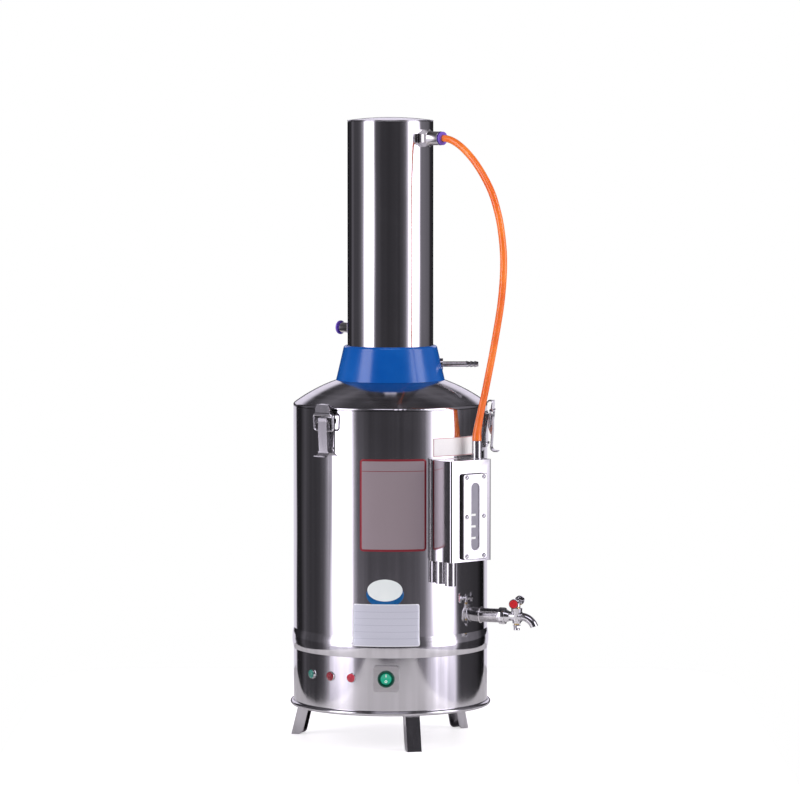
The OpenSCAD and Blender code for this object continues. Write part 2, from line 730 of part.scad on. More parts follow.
module latch_bases() color(steel) difference() {
    for (az = latch_azs) {
        intersection() {
            translate([0, 0, latch_z - latch_foot])
                ring(pot_r + seat + latch_plate_t, pot_r + seat, latch_foot + 8);
            spoke(az) translate([pot_r - 20, -latch_w / 2, 0]) cube([40, latch_w, rim_z]);
        }
        for (s = [-1, 1]) latch_side(az) translate([0, 0, s * (ear_gap + 0.75)])
            linear_extrude(1.5, center = true) {
                circle(r = 4);
                translate([-latch_out + 0.6, -4]) square([latch_out - 0.6, 8]);
            }
        latch_side(az) cylinder(r = latch_pin_r, h = 2 * ear_gap + 4, center = true);
    }
    rivet_places() translate([0, 0, pot_r - 10]) cylinder(r = 1.6 + slip, h = 20);
}

module latch_rivets() color(steel) rivet_places() {
    translate([0, 0, pot_in - 4]) cylinder(r = 1.6, h = sheet + 4 + latch_plate_t + seat + 0.5);
    translate([0, 0, pot_in - 1.8]) cylinder(r = 2.8, h = 1);
    translate([0, 0, pot_r + latch_plate_t + 2 * seat]) cylinder(r1 = 2.4, r2 = 1.6, h = 1.2);
}

// Channel lever: web, side flanges with the two bores, and the curled thumb tail
module latch_lever(az) color(steel) latch_side(az) {
    foot_x = 1.8;
    tail_r = 5.5;
    face = [[3.7, 4.5], [3.7, -17], [foot_x, -latch_foot]];
    linear_extrude(lever_w, center = true)
        polygon(concat(face, [for (i = [2 : -1 : 0]) face[i] - [lever_sheet, 0]]));
    linear_extrude(lever_w + 3, center = true) {
        translate([foot_x + tail_r, -latch_foot]) intersection() {
            difference() {
                circle(r = tail_r + lever_sheet);
                circle(r = tail_r);
            }
            translate([-10, -10]) square([10, 10]);
        }
        translate([foot_x + tail_r, -latch_foot - tail_r - lever_sheet]) square([4, lever_sheet]);
    }
    for (s = [-1, 1]) translate([0, 0, s * (lever_w - lever_sheet) / 2]) difference() {
        linear_extrude(lever_sheet, center = true) {
            circle(r = 3.8);
            translate([0, -link]) circle(r = 3);
            polygon([[-3.8, 0], [0, 3.4], [3, 3.2], [2.6, -17], [1.7, -24], [0.4, -24], [-3, -link]]);
        }
        cylinder(r = latch_pin_r + slip, h = 10, center = true);
        translate([0, -link, 0]) cylinder(r = wire_r + slip, h = 10, center = true);
    }
}

// Wire loop with the hooked claw plate rolled round its top bar
module latch_claw(az) color(steel)
    spoke(az) translate([latch_rho, 0, latch_z - link]) rotate([0, hook_turn, 0]) {
        bend = 4;
        half = loop_half - bend;
        for (z = [0, loop_h]) translate([0, 0, z]) rotate([90, 0, 0])
            cylinder(r = wire_r, h = 2 * half, center = true);
        for (s = [-1, 1]) {
            translate([0, s * loop_half, bend]) cylinder(r = wire_r, h = loop_h - 2 * bend);
            for (k = [0, 1]) translate([0, s * half, k ? loop_h - bend : bend])
                rotate([0, 90, 0]) rotate([0, 0, s > 0 ? (k ? 90 : 0) : (k ? 180 : 270)])
                    rotate_extrude(angle = 90) translate([bend, 0]) circle(r = wire_r);
        }
        translate([0, 0, loop_h]) rotate([90, 0, 0]) cylinder(r = wire_r + 1.1, h = 2 * half, center = true);
        rotate([90, 0, 90]) linear_extrude(lever_sheet, center = true)
            polygon([[-half, loop_h], [half, loop_h], [half, loop_h + 8], [10, claw_h], [-10, claw_h],
                [-half, loop_h + 8]]);
        translate([-tooth_reach, -7, claw_h - lever_sheet])
            cube([tooth_reach + lever_sheet / 2, 14, lever_sheet]);
    }

module latch_keepers() color(steel) difference() {
    for (az = latch_azs) spoke(az) {
        translate([pot_r - 12, -8, keeper_top - lever_sheet])
            cube([keeper_tip - pot_r + 12, 16, lever_sheet]);
        for (s = [-1, 1]) translate([0, s * 7.25, 0]) rotate([90, 0, 0])
            linear_extrude(1.5, center = true)
                polygon([[pot_r - 12, keeper_top - 0.5], [keeper_tip - 0.5, keeper_top - 0.5],
                    [pot_r - 1.2, knuckle_z + 0.6], [pot_r - 12, knuckle_z + 0.6]]);
    }
    rotate_extrude($fn = 360) cover_outline(-seat);
}

// Cover, collar and column

// Half section under the cover's outside, or under its inside when inset by the sheet
module cover_outline(inset) {
    reach = [knuckle_x, knuckle_z - dome_z0] / (dome_r - knuckle_r);
    edge = [knuckle_x, knuckle_z] + (knuckle_r - inset) * reach;
    intersection() {
        translate([0, dome_z0]) circle(r = dome_r - inset, $fn = 360);
        translate([0, edge[1] - 0.01]) square([edge[0], dome_r]);
    }
    translate([knuckle_x, knuckle_z]) circle(r = knuckle_r - inset);
    polygon([[0, hem_z - over], [pot_r - inset, hem_z - over], [pot_r - inset, knuckle_z],
        [knuckle_x, knuckle_z], edge, [0, edge[1]]]);
}

module cover_dome() color(steel) difference() {
    rotate_extrude() intersection() {
        union() {
            difference() {
                cover_outline(0);
                cover_outline(sheet);
            }
            intersection() {
                translate([pot_r - mouth_flange, gasket_z + gasket_t + seat]) square([mouth_flange, sheet]);
                cover_outline(sheet / 2);
            }
        }
        translate([cover_hole, hem_z]) square([pot_r, dome_r]);
    }
}

module cover_gasket() color(black) translate([0, 0, gasket_z])
    ring(pot_r - 2.5, pot_r - mouth_flange + 0.5, gasket_t);

// Half section of the collar's outside, with its rounded shoulder
module collar_outline(inset) {
    r = 4 - inset / 2;
    foot = collar_r - inset / cos(collar_lean);
    top = collar_top_r - inset / cos(collar_lean) + inset * tan(collar_lean);
    height = collar_top - inset;
    reach = r / tan(45 + collar_lean / 2);
    tangent = [top + reach * sin(collar_lean), height - reach * cos(collar_lean)];
    drop = 10;
    polygon([[0, collar_z - drop], [foot + drop * tan(collar_lean), collar_z - drop], tangent,
        [top - reach, height - r], [top - reach, height], [0, height]]);
    translate([top - reach, height - r]) circle(r = r);
}

module collar() color("royalblue") difference() {
    rotate_extrude() difference() {
        collar_outline(0);
        collar_outline(collar_t);
    }
    translate([0, 0, dome_z0]) sphere(r = dome_r + seat, $fn = 360);
    translate([0, 0, collar_z]) cylinder(r = column_r + 0.4, h = 2 * collar_h);
    radial(spigot_az, spigot_z) cylinder(r = spigot_r + 0.3, h = pot_r);
}

module column_shell() color(steel) difference() {
    translate([0, 0, collar_z]) ring(column_r, column_in, column_h);
    translate([0, 0, dome_z0]) sphere(r = dome_r + seat, $fn = 360);
    radial(spigot_az, spigot_z) cylinder(r = spigot_r + slip, h = pot_r);
    for (p = [[hose_az, outlet_z], [inlet_az, inlet_z]])
        radial(p[0], p[1]) cylinder(r = 6.4 + slip, h = pot_r);
}

// Crowned cap with a skirt inside the column
module column_cap() color(steel) {
    crown = 4;
    edge = 1;
    flat_r = column_r - 2.5;
    crown_r = (pow(flat_r, 2) + pow(crown, 2)) / (2 * crown);
    rotate_extrude() {
        translate([0, column_top + seat]) square([column_r - edge, 2 * edge]);
        translate([column_r - edge, column_top + seat + edge]) circle(r = edge);
        intersection() {
            translate([0, column_top + 2 * edge + seat + crown - crown_r]) circle(r = crown_r, $fn = 720);
            translate([0, column_top + 1]) square([flat_r + 1, 10]);
        }
        translate([column_in - slip - 1.2, column_top - 5]) square([1.2, 6]);
    }
}

module tube_places() {
    children();
    for (i = [0 : 5]) rotate(i * 60) translate([tube_circle, 0, 0]) children();
}

module tube_plates() color(steel) for (z = [low_plate_z, high_plate_z]) difference() {
    translate([0, 0, z]) cylinder(r = column_in - seat, h = 2);
    tube_places() translate([0, 0, z - over]) cylinder(r = tube_r + slip, h = 2 + 2 * over);
}

module condenser_tubes() color(steel) tube_places() translate([0, 0, low_plate_z - 2])
    ring(tube_r, tube_r - 1, high_plate_z + 2 - low_plate_z + 2);

// Ring tray round the steam neck, with a conical hat that sheds the drops
module distillate_tray() color(steel) difference() {
    union() {
        translate([0, 0, tray_z]) ring(column_in - seat, neck_r - sheet, sheet);
        translate([0, 0, tray_z]) ring(column_in - seat, column_in - seat - sheet, 16);
        translate([0, 0, tray_z - 8]) ring(neck_r, neck_r - sheet, neck_top - tray_z + 8);
        translate([0, 0, neck_top]) rotate_extrude() polygon([[0, 10], [0, 8.6], [40, 2.6], [40, 4]]);
        for (i = [0 : 2]) rotate(i * 120 + 30) translate([neck_r - 0.8, 0, neck_top - 1])
            cylinder(r = 1.4, h = 6.4);
    }
    radial(spigot_az, spigot_z) cylinder(r = spigot_r + slip, h = pot_r);
}

// Hose spigot with three barbs and a flange that lies on the collar
module distillate_spigot() color(steel) {
    barb = 5.9;
    radial(spigot_az, spigot_z) difference() {
        union() {
            translate([0, 0, column_in - 5])
                cylinder(r = spigot_r, h = spigot_end - 3 * barb - column_in + 5);
            for (i = [0 : 2]) translate([0, 0, spigot_end - (i + 1) * barb])
                cylinder(r1 = spigot_r + 0.7, r2 = spigot_r - 0.6, h = barb);
        }
        translate([0, 0, column_in - 6]) cylinder(r = spigot_bore, h = spigot_end);
    }
    difference() {
        radial(spigot_az, spigot_z) translate([0, 0, collar_top_r]) ring(8.5, spigot_r - 0.5, 9);
        rotate_extrude() collar_outline(-seat);
    }
}

// Push-in fitting: nipple, hexagon, and a round body with the bore that the tube is pushed into
module push_fitting(az, z, body_d) color(chrome) radial(az, z) difference() {
    tip = fitting_tip(body_d);
    union() {
        translate([0, 0, column_in - 4.6]) cylinder(r = 6.4, h = 8);
        translate([0, 0, column_r + seat]) hex(21.6, 13);
        translate([0, 0, column_r + 12]) cylinder(d = body_d, h = tip - column_r - 12);
        translate([0, 0, column_r + 13]) cylinder(d1 = body_d + 1, d2 = body_d, h = 1.5);
    }
    translate([0, 0, column_in - 6]) cylinder(r = 4, h = 60);
    translate([0, 0, tip - 18.5]) cylinder(r = hose_bore, h = 30);
    translate([0, 0, tip - 10]) cylinder(r = sleeve_r + slip, h = 20);
}

function fitting_tip(body_d) = column_r + (body_d > 18 ? 32.7 : 30.5);

module outlet_fitting() push_fitting(hose_az, outlet_z, 20);

module inlet_fitting() push_fitting(inlet_az, inlet_z, 15);

// Release ring: pushed in to free the tube
module release_ring(az, z, tip, ring_d) color("mediumpurple") radial(az, z) difference() {
    translate([0, 0, tip - 8]) {
        cylinder(r = sleeve_r, h = 8 + ring_gap + 1);
        translate([0, 0, 8 + ring_gap]) cylinder(d = ring_d - 1, h = 3);
        translate([0, 0, 8 + ring_gap + 0.6]) cylinder(d = ring_d, h = 1.8);
    }
    translate([0, 0, tip - 10]) cylinder(r = hose_bore + 0.2, h = 30);
}

module outlet_release_ring() release_ring(hose_az, outlet_z, fitting_tip(20), 19.2);

module inlet_release_ring() release_ring(inlet_az, inlet_z, fitting_tip(15), 20);

// Hose: rings of points square to the route, joined by triangles
module cooling_hose() color("orangered") spoke(hose_az) {
    last = len(hose_route) - 1;
    rings = [for (i = [0 : last])
        let (p = hose_route[i],
             d = hose_route[min(i + 1, last)] - hose_route[max(i - 1, 0)],
             along = d / norm(d),
             r = hose_d / 2 + hose_flare * max(0, 1 - (p[1] - hose_route[last][1]) / hose_flare_h))
        [for (k = [0 : hose_sides - 1])
            let (a = k * 360 / hose_sides)
            [p[0] - r * cos(a) * along[1], r * sin(a), p[1] + r * cos(a) * along[0]]]];
    polyhedron(
        points = [for (ring_points = rings, q = ring_points) q],
        faces = concat(
            [for (i = [0 : last - 1], k = [0 : hose_sides - 1])
                let (n = (k + 1) % hose_sides)
                [i * hose_sides + k, (i + 1) * hose_sides + k, (i + 1) * hose_sides + n]],
            [for (i = [0 : last - 1], k = [0 : hose_sides - 1])
                let (n = (k + 1) % hose_sides)
                [i * hose_sides + k, (i + 1) * hose_sides + n, i * hose_sides + n]],
            [for (k = [1 : hose_sides - 2]) [0, k, k + 1]],
            [for (k = [1 : hose_sides - 2])
                [last * hose_sides, last * hose_sides + k + 1, last * hose_sides + k]]));
}

base_skirt();
base_plate();
leg(leg_az[0]);  // leg_front
leg(leg_az[1]);  // leg_left
leg(leg_az[2]);  // leg_right
leg_screws();
cable_gland();
contactor();
terminal_block();
switch_plate();
switch_housing();
switch_rocker();
lamp_bezels();
lens_green();
lenses_red();
pot_shell();
heating_elements();
heater_nuts();
dry_boil_thermostat();
drain_socket();
tap_nut();
tap_body();
tap_plug();
tap_handle();
tap_caps();
tap_plug_nut();
water_box();
box_inlet_pipe();
overflow_pipe();
box_drain_pipe();
window_gasket();
window_pane();
window_frame();
window_screws();
latch_bases();
latch_rivets();
latch_lever(latch_azs[0]);  // latch_lever_left
latch_lever(latch_azs[1]);  // latch_lever_right
latch_lever(latch_azs[2]);  // latch_lever_back
latch_claw(latch_azs[0]);  // latch_claw_left
latch_claw(latch_azs[1]);  // latch_claw_right
latch_claw(latch_azs[2]);  // latch_claw_back
cover_dome();
cover_gasket();
latch_keepers();
collar();
column_shell();
column_cap();
tube_plates();
condenser_tubes();
distillate_tray();
distillate_spigot();
outlet_fitting();
outlet_release_ring();
inlet_fitting();
inlet_release_ring();
cooling_hose();
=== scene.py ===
"""Looks of the electric water distiller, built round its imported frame. Metres, Z up, front toward -Y."""
import math

import bmesh
import bpy
import numpy as np
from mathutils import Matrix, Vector


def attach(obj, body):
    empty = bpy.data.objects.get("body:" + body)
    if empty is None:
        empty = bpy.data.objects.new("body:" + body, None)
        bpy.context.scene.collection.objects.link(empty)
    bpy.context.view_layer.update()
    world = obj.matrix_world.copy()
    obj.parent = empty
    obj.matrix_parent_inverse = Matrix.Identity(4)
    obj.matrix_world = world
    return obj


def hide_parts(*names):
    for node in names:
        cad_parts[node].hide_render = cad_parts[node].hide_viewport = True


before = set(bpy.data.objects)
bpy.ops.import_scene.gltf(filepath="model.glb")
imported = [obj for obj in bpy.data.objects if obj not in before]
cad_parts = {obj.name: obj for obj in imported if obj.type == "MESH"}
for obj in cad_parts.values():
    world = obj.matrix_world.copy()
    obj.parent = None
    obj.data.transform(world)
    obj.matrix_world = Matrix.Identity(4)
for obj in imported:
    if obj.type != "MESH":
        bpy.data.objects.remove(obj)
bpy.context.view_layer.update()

# Camera. A long lens, set a little higher than the top of the column and tipped down, as for a
# catalogue picture of a tall appliance.
image_width = 800
axis_pixel = 390.4
scale_at_axis = 0.00144
camera_at = Vector((0.0, -6.2, 0.918))
aim_height = 0.4905
sensor_mm = 36.0
camera_data = bpy.data.cameras.new("camera")
camera_data.sensor_width = sensor_mm
camera_data.lens = sensor_mm * -camera_at.y / (image_width * scale_at_axis)
camera = bpy.data.objects.new("camera", camera_data)
bpy.context.scene.collection.objects.link(camera)
aim = Vector(((image_width / 2 - axis_pixel) * scale_at_axis, 0.0, aim_height))
camera.location = camera_at
camera.rotation_euler = (aim - camera_at).to_track_quat("-Z", "Y").to_euler()
bpy.context.scene.camera = camera


# Cooling hose. Orange polyurethane tube, extruded and glossy, pushed into the outlet fitting at the top
# and butted on the water box's inlet pipe at the bottom, where its end is stretched wider.
def place(azimuth, rho, side, height):
    """Points of the part: azimuth in degrees (0 at the front), distance from the axis, distance to the
    right of that direction as seen from outside, and height, stacked along the last axis."""
    a = np.radians(azimuth)
    x = rho * np.sin(a) + side * np.cos(a)
    y = -rho * np.cos(a) + side * np.sin(a)
    return np.stack(np.broadcast_arrays(x, y, height), axis=-1)


def smooth_path(points, steps):
    """Catmull-Rom curve through points, with this many steps between each two of them."""
    p = np.vstack([2 * points[0] - points[1], points, 2 * points[-1] - points[-2]])
    t = np.linspace(0, 1, steps, endpoint=False)[None, :, None]
    a, b, c, d = (p[i : len(p) - 3 + i, None, :] for i in range(4))
    curve = 0.5 * (2 * b + (c - a) * t + (2 * a - 5 * b + 4 * c - d) * t**2 + (3 * b - a - 3 * c + d) * t**3)
    return np.vstack([curve.reshape(-1, points.shape[1]), points[-1]])


def grid_mesh(name, points, around=False, ends=False, material=None, chart=None):
    """Joins a grid of points, rows by columns, with quads. around closes each row on itself, ends closes
    the first and last row with a face. The UV map holds chart, one pair of numbers for each point, or
    without one the share of the grid that each column and row has reached."""
    rows, columns = points.shape[:2]
    index = np.arange(rows * columns).reshape(rows, columns)
    across = np.hstack([index, index[:, :1]]) if around else index
    quads = np.stack([across[:-1, :-1], across[:-1, 1:], across[1:, 1:], across[1:, :-1]], axis=-1)
    faces = quads.reshape(-1, 4).tolist()
    if ends:
        faces += [index[0, ::-1].tolist(), index[-1].tolist()]
    mesh = bpy.data.meshes.new(name)
    mesh.from_pydata(points.reshape(-1, 3), [], faces)
    u, v = np.meshgrid(np.arange(columns + around) / (columns - 1 + around), np.arange(rows) / (rows - 1))
    corner = np.stack([u, v], axis=-1) if chart is None else chart
    corners = np.stack([corner[:-1, :-1], corner[:-1, 1:], corner[1:, 1:], corner[1:, :-1]], axis=2)
    flat = np.zeros((len(mesh.loops), 2))
    flat[: corners.size // 2] = corners.reshape(-1, 2)
    mesh.uv_layers.new(name="surface").data.foreach_set("uv", flat.ravel())
    mesh.polygons.foreach_set("use_smooth", [True] * len(mesh.polygons))
    mesh.update()
    piece = bpy.data.objects.new(name, mesh)
    bpy.context.scene.collection.objects.link(piece)
    if material:
        mesh.materials.append(material)
    return piece


def add_node(tree, kind, feeds=None, **settings):
    """Puts a node into a tree. feeds gives an input, by name or number, a value or another's output."""
    node = tree.nodes.new("ShaderNode" + kind)
    for key, value in settings.items():
        setattr(node, key, value)
    for key, source in (feeds or {}).items():
        if isinstance(source, bpy.types.NodeSocket):
            tree.links.new(source, node.inputs[key])
        else:
            node.inputs[key].default_value = source
    return node


def maths(tree, operation, *values):
    """The result of a Math node."""
    return add_node(tree, "Math", dict(enumerate(values)), operation=operation).outputs[0]


def vectors(tree, operation, *values):
    """The result of a Vector Math node on vectors."""
    return add_node(tree, "VectorMath", dict(enumerate(values)), operation=operation).outputs[0]


def length_of(tree, vector):
    """The length of a vector."""
    return add_node(tree, "VectorMath", {0: vector}, operation="LENGTH").outputs["Value"]


def spread(tree, value, low, high, start=0.3, stop=0.7):
    """Carries a value from start..stop to low..high, held at both ends."""
    feeds = {"Value": value, "From Min": start, "From Max": stop, "To Min": low, "To Max": high}
    return add_node(tree, "MapRange", feeds).outputs["Result"]


def mixed(tree, share, first, second):
    """Mixes two colours by a share from 0 to 1."""
    node = add_node(tree, "Mix", {0: share, 6: first, 7: second}, data_type="RGBA")
    return node.outputs[2]


def new_material(name, settings):
    """A material with one Principled shader, its plain numbers set on the shader itself."""
    material = bpy.data.materials.new(name)
    material.use_nodes = True
    shader = material.node_tree.nodes["Principled BSDF"]
    for key, value in settings.items():
        shader.inputs[key].default_value = value
    return material, material.node_tree, shader


def effect_group(name, inputs, outputs):
    """An empty node group with named sockets. It is returned with the sockets that give its inputs and
    those that take its outputs."""
    group = bpy.data.node_groups.new(name, "ShaderNodeTree")
    for key, (kind, value) in inputs.items():
        socket = group.interface.new_socket(key, in_out="INPUT", socket_type="NodeSocket" + kind)
        if value is not None:
            socket.default_value = value
    for key in outputs:
        group.interface.new_socket(key, in_out="OUTPUT", socket_type="NodeSocketFloat")
    source = group.nodes.new("NodeGroupInput").outputs
    target = group.nodes.new("NodeGroupOutput").inputs
    return group, source, target


def moulded_skin():
    """Shared effect of moulded and extruded plastic. Tone drifts slowly over the piece, Peel is the fine
    unevenness of its skin, both between 0 and 1."""
    group, source, target = effect_group(
        "moulded_skin", {"Vector": ("Vector", None), "Peel Scale": ("Float", 900.0)}, ["Tone", "Peel"])
    tone = add_node(group, "TexNoise", {"Vector": source["Vector"], "Scale": 22.0, "Detail": 3.0})
    peel = add_node(group, "TexNoise", {"Vector": source["Vector"], "Scale": source["Peel Scale"],
                                        "Detail": 2.0})
    group.links.new(tone.outputs["Fac"], target["Tone"])
    group.links.new(peel.outputs["Fac"], target["Peel"])
    return group


skin_group = moulded_skin()


def plastic(name, dark, light, rough, peel=900.0, depth=4e-6, **more):
    """Plastic whose colour drifts between two shades, whose gloss follows it, with a fine moulded skin."""
    extra = {key.replace("_", " "): value for key, value in more.items()}
    material, tree, shader = new_material(name, {"Specular IOR Level": 0.5, **extra})
    where = add_node(tree, "TexCoord").outputs["Object"]
    skin = add_node(tree, "Group", {}, node_tree=skin_group)
    tree.links.new(where, skin.inputs["Vector"])
    skin.inputs["Peel Scale"].default_value = peel
    tone = spread(tree, skin.outputs["Tone"], 0.0, 1.0)
    tree.links.new(mixed(tree, tone, (*dark, 1), (*light, 1)), shader.inputs["Base Color"])
    tree.links.new(spread(tree, tone, rough * 0.8, rough * 1.25, 0, 1), shader.inputs["Roughness"])
    bump = add_node(tree, "Bump", {"Height": skin.outputs["Peel"], "Distance": depth})
    tree.links.new(bump.outputs["Normal"], shader.inputs["Normal"])
    return material


hose_azimuth = 49.4874
hose_radius = 0.005
hose_flare = 0.0017
hose_flare_height = 0.040
hose_sides = 40
outlet_tip = 0.0945
hose_route = np.array([
    (0.080, 0.868), (0.100, 0.868), (0.112, 0.866), (0.125, 0.8605), (0.138, 0.852), (0.151, 0.841),
    (0.162, 0.8295), (0.172, 0.817), (0.182, 0.8025), (0.190, 0.788), (0.197, 0.770), (0.203, 0.750),
    (0.207, 0.728), (0.2095, 0.705), (0.2095, 0.680), (0.2075, 0.655), (0.204, 0.630), (0.199, 0.605),
    (0.1935, 0.580), (0.188, 0.556), (0.182, 0.532), (0.176, 0.508), (0.170, 0.486), (0.165, 0.466),
    (0.162, 0.452), (0.1615, 0.446), (0.1615, 0.4398)])
hose_line = smooth_path(hose_route, 6)
along = np.gradient(hose_line, axis=0)
along /= np.linalg.norm(along, axis=1, keepdims=True)
hose_turn = np.linspace(0, 2 * np.pi, hose_sides, endpoint=False)
above_end = (hose_line[:, 1] - hose_line[-1, 1]) / hose_flare_height
hose_wall = (hose_radius + hose_flare * np.clip(1 - above_end, 0, 1) ** 1.5)[:, None]
outward = hose_line[:, :1] - hose_wall * np.cos(hose_turn) * along[:, 1:]
upward = hose_line[:, 1:] + hose_wall * np.cos(hose_turn) * along[:, :1]
hose_material = plastic("orange_tube", (0.80, 0.145, 0.018), (0.96, 0.26, 0.045), 0.14, peel=300.0,
                        depth=1.5e-5, Subsurface_Weight=0.35, Subsurface_Radius=(0.012, 0.004, 0.001),
                        Subsurface_Scale=0.4, Coat_Weight=0.4, Coat_Roughness=0.05)
hose = grid_mesh("cooling_hose_tube", place(hose_azimuth, outward, hose_wall * np.sin(hose_turn), upward),
                 around=True, ends=True, material=hose_material)
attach(hose, "head")
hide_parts("cooling_hose")
place(hose_azimuth, outlet_tip, 0, hose_route[0, 1]).tolist()
place(hose_azimuth, hose_line[:, 0], 0, hose_line[:, 1]).tolist()


# Pot, skirt and column. Rolled and welded stainless sheet, ground along its height and then buffed to a
# mirror, so it still has faint upright lines, slow waves and finger marks. The pot's inside is left dull.
def sheet_finish():
    """Shared effect of buffed sheet. Streak is the fine grinding, stretched by the factors in Streaks,
    Band its wider upright strips, Wave the slow unevenness of the sheet, and Smudge the marks of
    handling, all between 0 and 1."""
    group, source, target = effect_group(
        "sheet_finish",
        {"Vector": ("Vector", None), "Streaks": ("Vector", (420.0, 420.0, 5.0)),
         "Waves": ("Vector", (9.0, 9.0, 2.5))},
        ["Streak", "Band", "Wave", "Smudge"])
    fine = vectors(group, "MULTIPLY", source["Vector"], source["Streaks"])
    wide = vectors(group, "MULTIPLY", fine, (0.22, 0.22, 0.14))
    slow = vectors(group, "MULTIPLY", source["Vector"], source["Waves"])
    streak = add_node(group, "TexNoise", {"Vector": fine, "Scale": 1.0, "Detail": 4.0})
    band = add_node(group, "TexNoise", {"Vector": wide, "Scale": 1.0, "Detail": 3.0})
    wave = add_node(group, "TexNoise", {"Vector": slow, "Scale": 1.0, "Detail": 1.0})
    smudge = add_node(group, "TexNoise", {"Vector": source["Vector"], "Scale": 14.0, "Detail": 5.0,
                                          "Distortion": 0.6})
    for key, node in (("Streak", streak), ("Band", band), ("Wave", wave), ("Smudge", smudge)):
        group.links.new(node.outputs["Fac"], target[key])
    return group


finish_group = sheet_finish()


def buffed_metal(name, colour, smooth, rough, streaks=(420.0, 420.0, 5.0), wave=5e-4, streak=8e-6,
                 spun=False):
    """Bare metal: its roughness goes from smooth to rough with the smudges and bands. spun turns the
    streaks into circles round the part's axis, as a lathe leaves them."""
    material, tree, shader = new_material(name, {"Metallic": 1.0})
    where = add_node(tree, "TexCoord").outputs["Object"]
    finish = add_node(tree, "Group", {}, node_tree=finish_group)
    finish.inputs["Streaks"].default_value = streaks
    tree.links.new(where, finish.inputs["Vector"])
    if spun:
        reach = length_of(tree, vectors(tree, "MULTIPLY", where, (1, 1, 0)))
        height = add_node(tree, "SeparateXYZ", {0: where}).outputs[2]
        lathe = add_node(tree, "CombineXYZ", {0: reach, 2: height})
        tree.links.new(lathe.outputs[0], finish.inputs["Vector"])
    wear = maths(tree, "ADD", finish.outputs["Smudge"], finish.outputs["Band"])
    tree.links.new(spread(tree, wear, smooth, rough, 0.75, 1.35), shader.inputs["Roughness"])
    dull = tuple(channel * 0.86 for channel in colour)
    tint = mixed(tree, spread(tree, finish.outputs["Band"], 0, 1, 0.35, 0.65), (*dull, 1), (*colour, 1))
    tree.links.new(tint, shader.inputs["Base Color"])
    broad = add_node(tree, "Bump", {"Height": finish.outputs["Wave"], "Distance": wave})
    fine = add_node(tree, "Bump", {"Height": finish.outputs["Streak"], "Distance": streak,
                                   "Normal": broad.outputs["Normal"]})
    tree.links.new(fine.outputs["Normal"], shader.inputs["Normal"])
    return material


def dress(names, material):
    """Gives CAD nodes a material through their slots."""
    for name in names:
        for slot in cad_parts[name].material_slots:
            slot.material = material


pot_radius = 0.140
skirt_foot = 0.0505
pot_foot = 0.133
pot_mouth = 0.4835
column_radius = 0.0618
steel = (0.66, 0.655, 0.665)
sheet_gloss = (0.05, 0.12)
rolled_sheet = buffed_metal("rolled_sheet", steel, *sheet_gloss)
dress(["base_skirt", "column_shell"], rolled_sheet)


def dull_inside(material, radius, mouth, rougher, metallic):
    """Makes a metal rougher and less metallic where it lies nearer the axis than radius and lower than the
    mouth."""
    tree = material.node_tree
    shader = tree.nodes["Principled BSDF"]
    where = add_node(tree, "TexCoord").outputs["Object"]
    reach = length_of(tree, vectors(tree, "MULTIPLY", where, (1, 1, 0)))
    height = add_node(tree, "SeparateXYZ", {0: where}).outputs[2]
    inside = maths(tree, "MULTIPLY", maths(tree, "LESS_THAN", reach, radius),
                   maths(tree, "LESS_THAN", height, mouth))
    buffed = shader.inputs["Roughness"].links[0].from_socket
    rough = maths(tree, "ADD", buffed, spread(tree, inside, 0, rougher, 0, 1))
    tree.links.new(rough, shader.inputs["Roughness"])
    tree.links.new(spread(tree, inside, 1, metallic, 0, 1), shader.inputs["Metallic"])


pot_sheet = buffed_metal("pot_sheet", steel, *sheet_gloss)
dull_inside(pot_sheet, pot_radius - 0.0004, pot_mouth - 0.0025, rougher=0.4, metallic=0.35)
dress(["pot_shell"], pot_sheet)


# Weld seams. The pot, the skirt and the column are each rolled from a flat sheet and closed with one
# upright seam at the back, planed almost flush.
def weld_bead(name, path, radius, height, pitch=0.0025, closed=False):
    """A bead along a path on a round wall: an ellipse of this radius across and height above the sheet,
    carried along the path and swelling and shrinking by a tenth with each ripple of the weld's pitch."""
    step = np.roll(path, -1, axis=0) - np.roll(path, 1, axis=0) if closed else np.gradient(path, axis=0)
    ahead = step / np.linalg.norm(step, axis=1, keepdims=True)
    away = path * (1, 1, 0)
    away /= np.linalg.norm(away, axis=1, keepdims=True)
    away -= (away * ahead).sum(axis=1, keepdims=True) * ahead
    away /= np.linalg.norm(away, axis=1, keepdims=True)
    across = np.cross(ahead, away)
    run = np.arange(len(path))[:, None] * np.linalg.norm(step, axis=1).mean() / 2
    swell = 1 + 0.1 * np.sin(2 * np.pi * run / pitch)
    turn = np.linspace(0, 2 * np.pi, 10, endpoint=False)
    ring = swell[:, :, None] * (height * np.cos(turn)[None, :, None] * away[:, None, :]
                                + radius * np.sin(turn)[None, :, None] * across[:, None, :])
    points = path[:, None, :] + ring
    if closed:
        points = np.concatenate([points, points[:1]])
    return grid_mesh(name, points, around=True, ends=not closed, material=weld_metal)


def join_loop(piece):
    """Merges the last ring of a closed bead with its first and turns its faces outward."""
    shell = bmesh.new()
    shell.from_mesh(piece.data)
    bmesh.ops.remove_doubles(shell, verts=shell.verts, dist=1e-7)
    bmesh.ops.recalc_face_normals(shell, faces=shell.faces)
    shell.to_mesh(piece.data)
    shell.free()
    return piece


